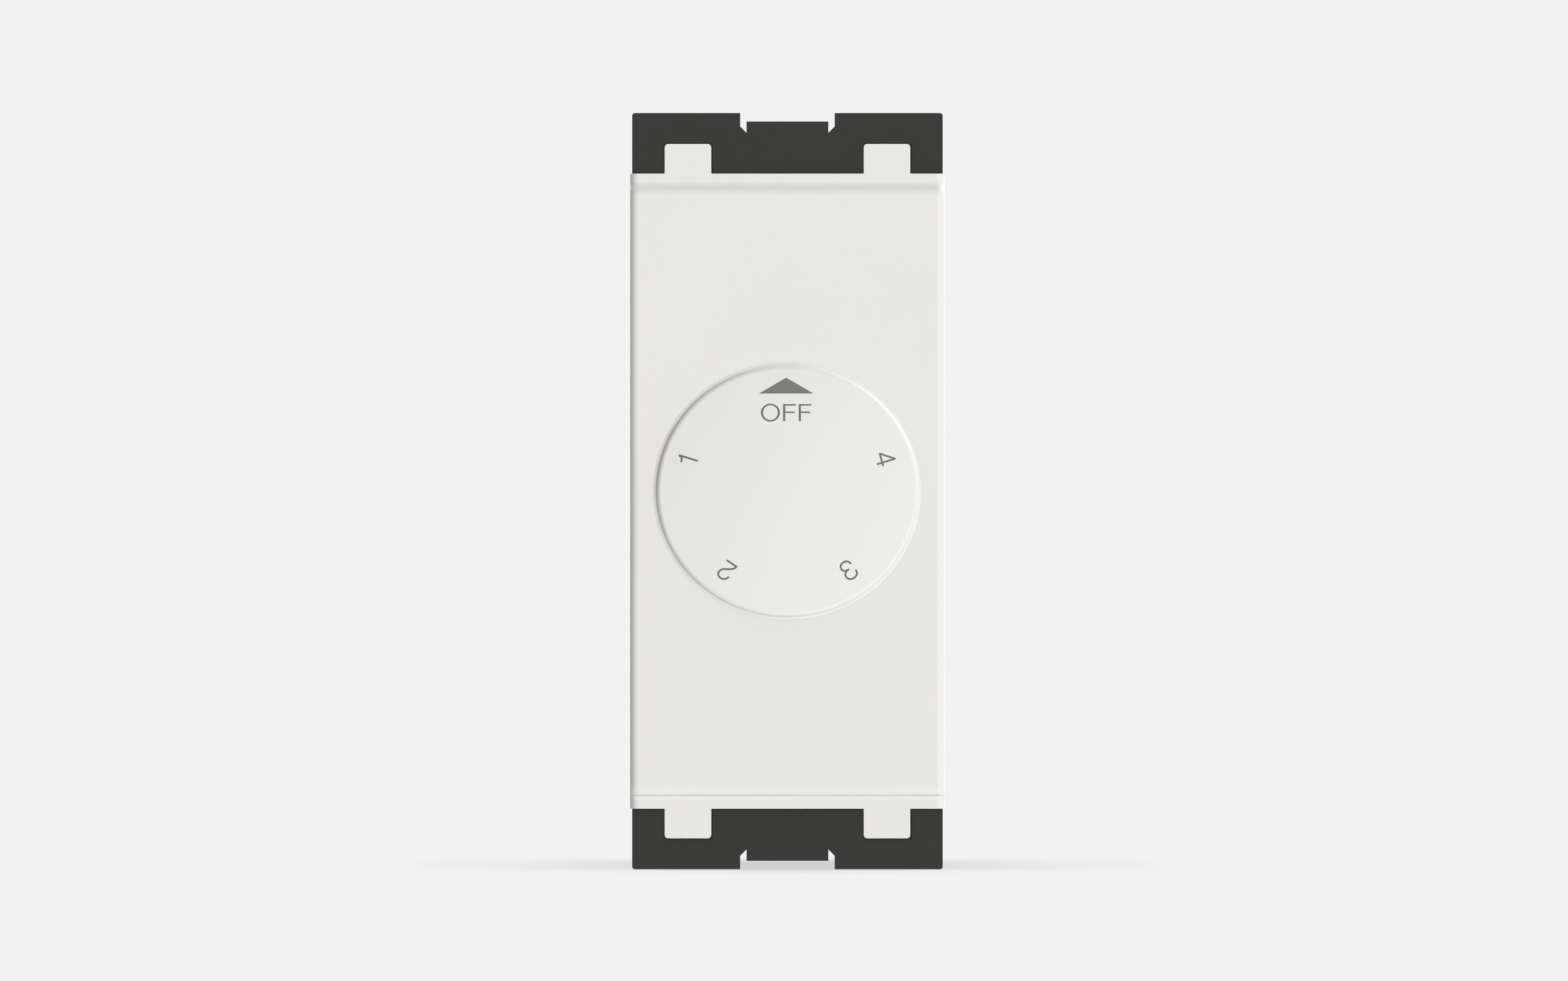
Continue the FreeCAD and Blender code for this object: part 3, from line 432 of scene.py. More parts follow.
class Finishes:
    """Every finish of the switch, built once."""

    def __init__(self) -> None:
        """Builds the materials by the name of what they cover."""
        made = [
            Plastic("cover_white", linear(229, 228, 224), 0.55, grain_size=0.3, grain_depth=0.002,
                    mottling=0.006, edge=0.05, shine=0.15),
            Plastic("dial_white", linear(230, 229, 225), 0.55, grain_size=0.3, grain_depth=0.0015,
                    mottling=0.006, edge=0.04, shine=0.20),
            Plastic("carrier_black", (0.0322, 0.0322, 0.0300), 0.66, Grain.SPARKED, 0.16, 0.008,
                    mottling=0.03, edge=0.1, shine=0.15),
            Plastic("housing_black", (0.0300, 0.0300, 0.0284), 0.62, Grain.SPARKED, 0.22, 0.010,
                    mottling=0.03, shine=0.15),
            *(Plastic(name, colour, 0.6, grain_size=0.08, grain_depth=0.0008, mottling=0.05, edge=0.01,
                      shine=0.2) for name, colour in (("dial_ink", linear(123, 122, 118)),
                                                      ("dial_ink_fine", linear(113, 112, 108)))),
            Plastic("rotor_acetal", (0.66, 0.62, 0.52), 0.38, grain_size=0.4, mottling=0.05, edge=0.1),
            Plastic("capacitor_shell", (0.20, 0.25, 0.29), 0.45, Grain.SPARKED, 0.2, 0.012,
                    mottling=0.08),
            Plastic("resistor_ceramic", (0.62, 0.60, 0.55), 0.7, Grain.SPARKED, 0.25, 0.02,
                    mottling=0.10, edge=0.08, shine=0.3),
            Metal("spring_strip", (0.50, 0.50, 0.51), (0.30, 0.27, 0.22), 0.35, 0.28),
            Metal("contact_bronze", (0.66, 0.38, 0.21), (0.34, 0.16, 0.08), 0.4, 0.32,
                  lay=(4.0, 1.0, 1.0), tip_colour=(0.74, 0.73, 0.70), tip_from=11.73),
            Metal("contact_brass", (0.72, 0.52, 0.22), (0.38, 0.24, 0.08), 0.35, 0.3,
                  lay=(6.0, 1.0, 1.0), tip_colour=(0.70, 0.69, 0.66), tip_from=12.3, tip_behind=False),
            Metal("busbar_brass", (0.72, 0.53, 0.24), (0.42, 0.25, 0.09), 0.4, 0.3,
                  lay=(1.0, 0.2, 1.0)),
            Metal("zinc_plate", (0.58, 0.58, 0.56), (0.36, 0.35, 0.31), 0.45, 0.34,
                  lay=(2.0, 1.0, 1.0)),
            Metal("track_copper", (0.68, 0.33, 0.19), (0.30, 0.13, 0.06), 0.35, 0.36),
            Metal("solder_tin", (0.60, 0.60, 0.60), (0.34, 0.33, 0.31), 0.3, 0.24),
            Laminate(),
            BandedLacquer(),
        ]
        self.by_name = {finish.name: finish.material() for finish in made}

    def __getitem__(self, name: str) -> bpy.types.Material:
        """The material of that name."""
        return self.by_name[name]


# Meshes

def circle(radius: float, depth: float, around: int) -> list[Point]:
    """Points of a round ring on the dial's axis."""
    return [(radius * math.cos(turn), depth, radius * math.sin(turn)) for turn in turns(around)]


def box(low: Point, high: Point) -> Shape:
    """Corners and faces of a box between two corners."""
    points = [(x, y, z) for x in (low[0], high[0]) for y in (low[1], high[1]) for z in (low[2], high[2])]
    return points, [[0, 1, 3, 2], [4, 6, 7, 5], [0, 4, 5, 1], [2, 3, 7, 6], [0, 2, 6, 4], [1, 5, 7, 3]]


def lofted(rings: Sequence[Sequence[Point]], closed: bool = False) -> Shape:
    """Shape through rings of points, with flat ends unless the rings close on themselves.

    Args:
        rings: Rings with as many points each.
        closed: Whether the last ring joins the first.

    Returns:
        Its points and faces.
    """
    count, around = len(rings), len(rings[0])
    faces = []
    for step in range(count if closed else count - 1):
        here, there = step * around, (step + 1) % count * around
        faces += [[here + i, here + (i + 1) % around, there + (i + 1) % around, there + i]
                  for i in range(around)]
    if not closed:
        faces += [list(range(around)), [(count - 1) * around + i for i in range(around)]]
    return [point for ring in rings for point in ring], faces


def joined(shapes: Sequence[Shape]) -> Shape:
    """Puts several closed shapes in one list of points and faces."""
    points: list[Point] = []
    faces: list[list[int]] = []
    for own_points, own_faces in shapes:
        faces += [[index + len(points) for index in face] for face in own_faces]
        points += own_points
    return points, faces


def mesh_object(name: str, points: Sequence[Point], faces: Sequence[Sequence[int]],
                material: bpy.types.Material, crease: float = 30.0) -> bpy.types.Object:
    """Object from points in millimetres.

    Args:
        name: Name of the piece.
        points: Corners in millimetres.
        faces: Corner numbers of each face.
        material: Its finish.
        crease: Angle in degrees above which an edge stays sharp.

    Returns:
        The object, at the origin, with its faces turned outwards.
    """
    mesh = bpy.data.meshes.new(name)
    mesh.from_pydata([Vector(point) * MM for point in points], [], faces)
    work = bmesh.new()
    work.from_mesh(mesh)
    bmesh.ops.remove_doubles(work, verts=work.verts, dist=WELD)
    bmesh.ops.dissolve_degenerate(work, dist=WELD, edges=work.edges)
    bmesh.ops.recalc_face_normals(work, faces=work.faces)
    work.to_mesh(mesh)
    work.free()
    mesh.materials.append(material)
    smoothed(mesh, crease)
    return placed(name, mesh)


def placed(name: str, data: bpy.types.ID) -> bpy.types.Object:
    """Object at the origin that shows a mesh, a lamp or a camera."""
    made = bpy.data.objects.new(name, data)
    bpy.context.scene.collection.objects.link(made)
    return made


def smoothed(mesh: bpy.types.Mesh, crease: float) -> None:
    """Shades a mesh smoothly, with edges above an angle in degrees left sharp."""
    mesh.polygons.foreach_set("use_smooth", [True] * len(mesh.polygons))
    mesh.set_sharp_from_angle(angle=math.radians(crease))


def finished(made: bpy.types.Object) -> None:
    """Turns an object's evaluated result into its plain mesh and removes the modifiers."""
    graph = bpy.context.evaluated_depsgraph_get()
    mesh = bpy.data.meshes.new_from_object(made.evaluated_get(graph))
    mesh.name = made.name
    made.modifiers.clear()
    made.data = mesh


def carved(made: bpy.types.Object, blade: bpy.types.Object) -> bpy.types.Object:
    """Cuts one object with another, removes the second and returns the first."""
    cut = made.modifiers.new("cut", "BOOLEAN")
    cut.operation, cut.solver, cut.object = "DIFFERENCE", "EXACT", blade
    finished(made)
    bpy.data.objects.remove(blade)
    return made


def merged(name: str, parts: Sequence[bpy.types.Object]) -> bpy.types.Object:
    """Joins objects into the first and names it."""
    work = bmesh.new()
    for part in parts:
        work.from_mesh(part.data)
    keep = parts[0]
    work.to_mesh(keep.data)
    work.free()
    for part in parts[1:]:
        bpy.data.objects.remove(part)
    keep.name = keep.data.name = name
    return keep


def dress(frame: dict, finishes: Finishes, looks: dict[str, str]) -> None:
    """Gives CAD nodes their finish through their material slots.

    Args:
        finishes: Every finish of the switch.
        looks: Name of each node's finish.
    """
    for node, look in looks.items():
        target = frame["nodes"][node]
        if not target.material_slots:
            target.data.materials.append(finishes[look])
        for place in target.material_slots:
            place.material = finishes[look]
        LOG.info("%s dressed as %s", node, look)


def seat(piece: bpy.types.Object, body: str) -> None:
    """Makes a piece ride on a body and reports it."""
    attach(piece, body)
    LOG.info("%s rides on %s", piece.name, body)


# Geometry Nodes

class Growing(Tree):
    """A Geometry Nodes tree with named inputs, and the call that runs it on a piece."""

    def __init__(self, name: str, inputs: dict[str, float]) -> None:
        """Starts a tree with a geometry input and output and one number for each size."""
        super().__init__(bpy.data.node_groups.new(name, "GeometryNodeTree"))
        self.opened("Geometry", "Geometry")
        self.numbers = {self.opened(key, "Float"): value for key, value in inputs.items()}
        self.finish = self.opened("Finish", "Material")
        self.opened("Geometry", "Geometry", "OUTPUT")
        self.start = self.add("NodeGroupInput")

    def opened(self, name: str, kind: str, side: str = "INPUT") -> str:
        """Adds a socket to the tree's interface and returns its identifier."""
        return self.tree.interface.new_socket(name, in_out=side, socket_type=f"NodeSocket{kind}").identifier

    def given(self, name: str) -> Socket:
        """A named input of the tree."""
        return self.start.outputs[name]

    def end(self, geometry: Socket) -> None:
        """Closes the tree: instances made real, then the finish."""
        real = self.add("GeometryNodeRealizeInstances", Geometry=geometry)
        finish = self.add("GeometryNodeSetMaterial", Geometry=real.outputs["Geometry"],
                          Material=self.given("Finish"))
        self.add("NodeGroupOutput", Geometry=finish.outputs["Geometry"])

    def stand(self, shape: Socket, tilt: float = 0.0) -> None:
        """Closes the tree with a shape on every point, turned about X by a tilt in radians."""
        stood = self.add("GeometryNodeInstanceOnPoints", Points=self.given("Geometry"), Instance=shape,
                         Rotation=(tilt, 0.0, 0.0))
        self.end(stood.outputs["Instances"])

    def grow(self, name: str, paths: Sequence[Sequence[Point]],
             material: bpy.types.Material) -> bpy.types.Object:
        """Runs the tree on paths and single places.

        Args:
            name: Name of the piece.
            paths: Points of each path in millimetres, one point for a single place.
            material: Its finish.

        Returns:
            The piece as a plain mesh at the origin.
        """
        points: list[Point] = []
        edges: list[tuple[int, int]] = []
        for path in paths:
            edges += [(len(points) + i, len(points) + i + 1) for i in range(len(path) - 1)]
            points += path
        mesh = bpy.data.meshes.new(name)
        mesh.from_pydata([Vector(point) * MM for point in points], edges, [])
        made = placed(name, mesh)
        modifier = made.modifiers.new("grow", "NODES")
        modifier.node_group = self.tree
        for identifier, value in self.numbers.items():
            modifier[identifier] = value
        modifier[self.finish] = material
        finished(made)
        smoothed(made.data, crease=40)
        return made


def strips_tree(name: str, width: float, thickness: float) -> Growing:
    """Tree that sweeps a flat bar along paths that lie in a plane of constant Y.

    Args:
        name: Name of the tree.
        width: Width of the bar in millimetres.
        thickness: Its thickness along Y in millimetres.

    Returns:
        The tree.
    """
    tree = Growing(name, {"Width": width * MM, "Thickness": thickness * MM})
    path = tree.add("GeometryNodeMeshToCurve", Mesh=tree.given("Geometry"))
    smooth = tree.add("GeometryNodeFilletCurve", {"mode": "POLY"}, Curve=path.outputs["Curve"],
                      Count=4, Radius=tree.given("Width"), Limit_Radius=True)
    turned = tree.add("GeometryNodeSetCurveNormal", {"mode": "FREE"}, Curve=smooth.outputs["Curve"],
                      Normal=(0.0, 1.0, 0.0))
    bar = tree.add("GeometryNodeCurvePrimitiveQuadrilateral", {"mode": "RECTANGLE"},
                   Width=tree.given("Width"), Height=tree.given("Thickness"))
    swept = tree.add("GeometryNodeCurveToMesh", Curve=turned.outputs["Curve"],
                     Profile_Curve=bar.outputs["Curve"], Fill_Caps=True)
    tree.end(swept.outputs["Mesh"])
    return tree


def solids_tree(name: str, kind: str, vertices: int, layers: int, tilt: float = 0.0,
                **sizes: float) -> Growing:
    """Tree that puts a round solid on every point.

    Args:
        name: Name of the tree.
        kind: Node that makes the solid, a cone or a cylinder.
        vertices: Corners round it.
        layers: Layers along it.
        tilt: Turn about X in radians.
        sizes: Sizes in millimetres by the node's input name, with _ for a space.

    Returns:
        The tree.
    """
    tree = Growing(name, {key: size * MM for key, size in sizes.items()})
    solid = tree.add(kind, Vertices=vertices, Side_Segments=layers, Fill_Segments=1,
                     **{key: tree.given(key) for key in sizes})
    tree.stand(solid.outputs["Mesh"], tilt)
    return tree


def rings_tree(name: str, radius: float, bead: float, tilt: float = math.pi / 2) -> Growing:
    """Tree that puts a raised ring on every point.

    Args:
        name: Name of the tree.
        radius: Radius of the ring in millimetres.
        bead: Radius of its bead in millimetres.
        tilt: Turn about X, a quarter turn for a ring that faces along Y.

    Returns:
        The tree.
    """
    tree = Growing(name, {"Radius": radius * MM, "Bead": bead * MM})
    ring, section = [tree.add("GeometryNodeCurvePrimitiveCircle", {"mode": "RADIUS"}, Resolution=count,
                              Radius=tree.given(key)) for key, count in (("Radius", 48), ("Bead", 8))]
    torus = tree.add("GeometryNodeCurveToMesh", Curve=ring.outputs["Curve"],
                     Profile_Curve=section.outputs["Curve"])
    tree.stand(torus.outputs["Mesh"], tilt)
    return tree


# The dial

@dataclass
class Dial:
    """Rotary dial: round domed face, oval base, ribs and hub inside, and its printed legend.

    Fields: half_width and half_height of the oval at the rim; rim_round, the radius there;
    flare of the skirt at its foot, and lip, the height of its edge; dome, how far the face
    rises over dome_reach; rise, from the rim to the base; face, the thickness of the face;
    the sizes of hub, bore and ribs; overlap, how deep these reach into each other; how many
    points go round and how many rings follow face, rim and flare; print_height and
    print_root, how far the ink stands over the face and reaches into it.
    """

    finishes: Finishes
    half_width: float = 9.26
    half_height: float = 8.89
    rim_round: float = 0.35
    flare: float = 0.21
    lip: float = 0.05
    lip_bulge: float = 0.02
    dome_reach: float = 8.90
    dome: float = 0.5
    rise: float = 2.65
    inner_radius: float = 7.7
    face: float = 1.1
    hub_radius: float = 3.35
    bore_radius: float = 2.05
    bore_flat: float = 1.55
    rib_count: int = 5
    rib_thickness: float = 0.9
    rib_setback: float = 0.5
    overlap: float = 0.2
    chamfer: float = 0.12
    around: int = 160
    hub_around: int = 72
    face_rings: int = 16
    rim_rings: int = 9
    flare_rings: int = 8
    print_height: float = 0.012
    print_root: float = 0.02
    apex: float = field(init=False)
    hub_back: float = field(init=False)
    dome_radius: float = field(init=False)
    base: float = field(init=False)
    inside: float = field(init=False)

    def __post_init__(self) -> None:
        """Takes the dial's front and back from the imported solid."""
        low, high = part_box("speed_dial")
        self.apex = low.y / MM
        self.hub_back = high.y / MM
        self.dome_radius = (self.dome_reach ** 2 + self.dome ** 2) / (2 * self.dome)
        self.base = self.apex + self.dome + self.rise
        self.inside = self.apex + self.dome + self.face

    def surface(self, x: float, z: float) -> float:
        """Depth of the domed face at a point."""
        return self.apex + self.dome_radius - math.sqrt(self.dome_radius ** 2 - x * x - z * z)

    def oval(self, grow: float, depth: float | None = None, sink: float = 0.0,
             share: float = 1.0) -> list[Point]:
        """Points of one ring round the dial.

        Args:
            grow: Distance outside the oval where the rounded rim starts.
            depth: Depth of the ring, or None to follow the dome.
            sink: Distance behind the dome, where the ring follows it.
            share: Scale of the whole ring, for rings on the face.

        Returns:
            The points.
        """
        points = []
        for turn in turns(self.around):
            x = (self.half_width - self.rim_round) * math.cos(turn) * share
            z = (self.half_height - self.rim_round) * math.sin(turn) * share
            y = self.surface(x, z) + sink if depth is None else depth
            points.append((x + grow * math.cos(turn), y, z + grow * math.sin(turn)))
        return points

    def shell(self) -> Shape:
        """Closed shell: face, rounded rim, upright wall, flared skirt and the inside."""
        rings = [self.oval(0, share=step / self.face_rings) for step in range(1, self.face_rings + 1)]
        for step in range(1, self.rim_rings + 1):
            turn = math.radians(90 * step / self.rim_rings)
            rings.append(self.oval(self.rim_round * math.sin(turn),
                                   sink=self.rim_round * (1 - math.cos(turn))))
        top = self.base - self.lip - self.flare
        rings.append(self.oval(self.rim_round, top))
        for step in range(1, self.flare_rings + 1):
            turn = math.radians(90 * step / self.flare_rings)
            rings.append(self.oval(self.rim_round + self.flare * (1 - math.cos(turn)),
                                   top + self.flare * math.sin(turn)))
        edge = self.rim_round + self.flare
        rings += [self.oval(edge + self.lip_bulge, self.base - self.lip / 2), self.oval(edge, self.base)]
        inner = ((self.inner_radius + self.lip, self.base), (self.inner_radius, self.base - self.lip),
                 (self.inner_radius, self.inside), (self.inner_radius / 2, self.inside))
        return lofted(rings + [circle(radius, depth, self.around) for radius, depth in inner])

    def hub(self) -> Shape:
        """Tube that grips the shaft, its bore flat on the upper side."""
        rings = [circle(radius, depth, self.hub_around) for radius, depth in (
            (self.hub_radius, self.inside - self.overlap), (self.hub_radius, self.hub_back - self.chamfer),
            (self.hub_radius - self.chamfer, self.hub_back))]
        for depth in (self.hub_back, self.inside):
            rings.append([(x, y, min(z, self.bore_flat))
                          for x, y, z in circle(self.bore_radius, depth, self.hub_around)])
        return lofted(rings)

    def rib(self, step: int) -> Shape:
        """One of the stiffening ribs between the hub and the wall."""
        half = self.rib_thickness / 2
        points, faces = box((-half, self.inside - self.overlap, self.hub_radius - self.overlap),
                            (half, self.base - self.rib_setback, self.inner_radius + self.overlap))
        turn = Matrix.Rotation(2 * math.pi * (step + 0.5) / self.rib_count, 3, "Y")
        return [tuple(turn @ Vector(point)) for point in points], faces

    def printed(self, name: str, rows: Sequence[Sequence[Flat]], lift: float = 0.0,
                ink: str = "dial_ink_fine", closed: bool = False) -> bpy.types.Object:
        """A patch of ink that follows the dome.

        Args:
            name: Name of the piece.
            rows: Rows of points across the patch, each with as many points.
            lift: Extra height in millimetres, so that crossing strokes don't share a plane.
            ink: Finish of the print.
            closed: Whether the last row joins the first, as in the letter O.

        Returns:
            A thin closed shell.
        """
        count = len(rows[0])
        flat = [point for row in rows for point in row]
        over = [(x, self.surface(x, z) - self.print_height - lift, z) for x, z in flat]
        under = [(x, self.surface(x, z) + self.print_root, z) for x, z in flat]
        shift, last = len(flat), count - 1
        steps = [(row * count, (row + 1) % len(rows) * count)
                 for row in range(len(rows) if closed else len(rows) - 1)]
        faces = []
        for here, there in steps:
            for i in range(last):
                corner = [here + i, here + i + 1, there + i + 1, there + i]
                faces += [corner, [index + shift for index in reversed(corner)]]
        rim = [(here + last, there + last) for here, there in steps]
        rim += [(there, here) for here, there in steps]
        if not closed:
            rim += [pair for i in range(last) for pair in ((i, i + 1), (shift - 1 - i, shift - 2 - i))]
        faces += [[b, a, a + shift, b + shift] for a, b in rim]
        return mesh_object(name, over + under, faces, self.finishes[ink])

    def build(self, frame: dict) -> None:
        """Makes the dial and its legend, and seats them."""
        shapes = [self.shell(), self.hub()] + [self.rib(step) for step in range(self.rib_count)]
        cap = mesh_object("dial_cap", *joined(shapes), self.finishes["dial_white"], crease=35)
        seat(cap, "dial")
        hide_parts("speed_dial")
        for piece in Legend(self).build():
            seat(piece, "dial")
        dress(frame, self.finishes, {"speed_dial": "dial_white", "dial_leaf_spring": "spring_strip"})


def flowing(points: Sequence[Flat], steps: int = 6) -> list[Flat]:
    """Smooth line through points, by Catmull-Rom pieces.

    Args:
        points: Points that the line passes.
        steps: Pieces between two points.

    Returns:
        The points of the line.
    """
    line = [(2 * points[0][0] - points[1][0], 2 * points[0][1] - points[1][1]), *points,
            (2 * points[-1][0] - points[-2][0], 2 * points[-1][1] - points[-2][1])]
    made = []
    for a, b, c, d in zip(line, line[1:], line[2:], line[3:]):
        for t in (step / steps for step in range(steps)):
            made.append(tuple(0.5 * (2 * b[i] + (c[i] - a[i]) * t
                                     + (2 * a[i] - 5 * b[i] + 4 * c[i] - d[i]) * t * t
                                     + (3 * b[i] - a[i] - 3 * c[i] + d[i]) * t ** 3) for i in (0, 1)))
    return made + [tuple(points[-1])]


def ribbon(line: Sequence[Flat], width: float) -> list[list[Flat]]:
    """Rows of two points across a line, each half the width to one side."""
    rows = []
    for index, (x, z) in enumerate(line):
        before, after = line[max(index - 1, 0)], line[min(index + 1, len(line) - 1)]
        run_x, run_z = after[0] - before[0], after[1] - before[1]
        length = math.hypot(run_x, run_z)
        side_x, side_z = -run_z / length * width / 2, run_x / length * width / 2
        rows.append([(x + side_x, z + side_z), (x - side_x, z - side_z)])
    return rows


@dataclass
class Legend:
    """Printed legend of the dial: a triangle, OFF, and the figures 1 to 4 round the edge.

    Each figure is drawn upright about a point on the radius that it stands on: its turn in
    degrees, that radius, and strokes of (right, up) points. A stroke of many points is a
    curve, and one of two is straight.
    """

    dial: Dial
    figure_width: float = 0.134
    upright_width: float = 0.156
    bar_width: float = 0.113
    triangle_base: float = 6.90
    triangle_apex: float = 8.02
    triangle_half: float = 1.93
    triangle_middle: float = -0.09
    triangle_tip: float = 0.01
    letter_low: float = 4.945
    letter_high: float = 6.155
    o_middle: float = -1.205
    o_half_width: float = 0.675
    o_half_height: float = 0.635
    f_lefts: Flat = (-0.312, 0.796)
    f_bars: Flat = (0.90, 0.82)
    f_waist: float = 5.575
    stroke_lift: float = 0.001
    figures: dict[str, tuple[float, float, list[list[Flat]]]] = field(default_factory=lambda: {
        "figure_1": (-72, 7.39, [
            [(0.05, 0.70), (0.07, -0.70)],
            [(0.03, 0.68), (-0.02, 0.52), (-0.12, 0.42), (-0.38, 0.39)]]),
        "figure_2": (-144, 7.08, [
            [(0.61, -0.61), (-0.27, -0.65)],
            [(-0.25, -0.66), (-0.17, -0.46), (-0.03, -0.29), (0.18, -0.13), (0.43, 0.04), (0.57, 0.29),
             (0.52, 0.54), (0.28, 0.66), (0.0, 0.60), (-0.15, 0.43), (-0.20, 0.24)]]),
        "figure_3": (144, 7.06, [
            [(-0.62, -0.26), (-0.56, -0.48), (-0.39, -0.63), (-0.14, -0.66), (0.09, -0.55), (0.16, -0.32),
             (0.05, -0.12), (-0.13, -0.05), (-0.29, -0.04)],
            [(-0.22, -0.04), (-0.01, -0.01), (0.15, 0.12), (0.20, 0.35), (0.07, 0.58), (-0.21, 0.67),
             (-0.48, 0.60), (-0.60, 0.44), (-0.63, 0.26)]]),
        "figure_4": (72, 7.29, [
            [(0.15, -0.69), (0.17, 0.70)],
            [(0.19, 0.68), (-0.52, -0.29)],
            [(-0.53, -0.27), (0.41, -0.30)]])})

    def figure(self, name: str, turned: float, radius: float,
               strokes: list[list[Flat]]) -> list[bpy.types.Object]:
        """Strokes of one figure, with its top away from the dial's middle."""
        angle = math.radians(turned)
        right, up = (math.cos(angle), -math.sin(angle)), (math.sin(angle), math.cos(angle))
        made = []
        for index, stroke in enumerate(strokes):
            line = flowing(stroke) if len(stroke) > 2 else stroke
            path = [(right[0] * u + up[0] * (v + radius), right[1] * u + up[1] * (v + radius))
                    for u, v in line]
            made.append(self.dial.printed(f"{name}_stroke_{index + 1}", ribbon(path, self.figure_width),
                                          self.stroke_lift * index))
        return made

    def letter_o(self) -> bpy.types.Object:
        """The letter O, thinner at its top and bottom."""
        height = (self.letter_low + self.letter_high) / 2
        rows = []
        for turn in turns(64):
            right, up = math.cos(turn), math.sin(turn)
            outer = (self.o_middle + self.o_half_width * right, height + self.o_half_height * up)
            inner = (self.o_middle + (self.o_half_width - self.upright_width) * right,
                     height + (self.o_half_height - self.bar_width) * up)
            rows.append([inner, outer])
        return self.dial.printed("letter_O", rows, closed=True)

    def letter_f(self, name: str, left: float) -> list[bpy.types.Object]:
        """A letter F whose upright starts at a place."""
        right, half, top = left + self.upright_width, self.bar_width / 2, self.letter_high
        top_end, middle_end = (left + reach for reach in self.f_bars)
        bars = {"upright": [[(left, height), (right, height)] for height in (self.letter_low, top)],
                "top": [[(x, top - self.bar_width), (x, top)] for x in (right, top_end)],
                "middle": [[(x, self.f_waist - half), (x, self.f_waist + half)]
                           for x in (right, middle_end)]}
        return [self.dial.printed(f"{name}_{part}", rows) for part, rows in bars.items()]

    def triangle(self) -> bpy.types.Object:
        """The filled triangle above OFF."""
        rows = []
        for share in spaced(0, 1, 9):
            height = self.triangle_base + (self.triangle_apex - self.triangle_base) * share
            half = self.triangle_half * (1 - share) + self.triangle_tip * share
            rows.append([(self.triangle_middle + half * across, height) for across in spaced(-1, 1, 13)])
        return self.dial.printed("off_triangle", rows, ink="dial_ink")

    def build(self) -> list[bpy.types.Object]:
        """Makes one piece for the triangle, for OFF and for each figure."""
        off = [self.letter_o()]
        for name, left in zip(("letter_F", "letter_F_second"), self.f_lefts):
            off += self.letter_f(name, left)
        pieces = [self.triangle(), merged("legend_OFF", off)]
        for name, (turned, radius, strokes) in self.figures.items():
            pieces.append(merged(name, self.figure(name, turned, radius, strokes)))
        return pieces


# The front, the carrier and the housing

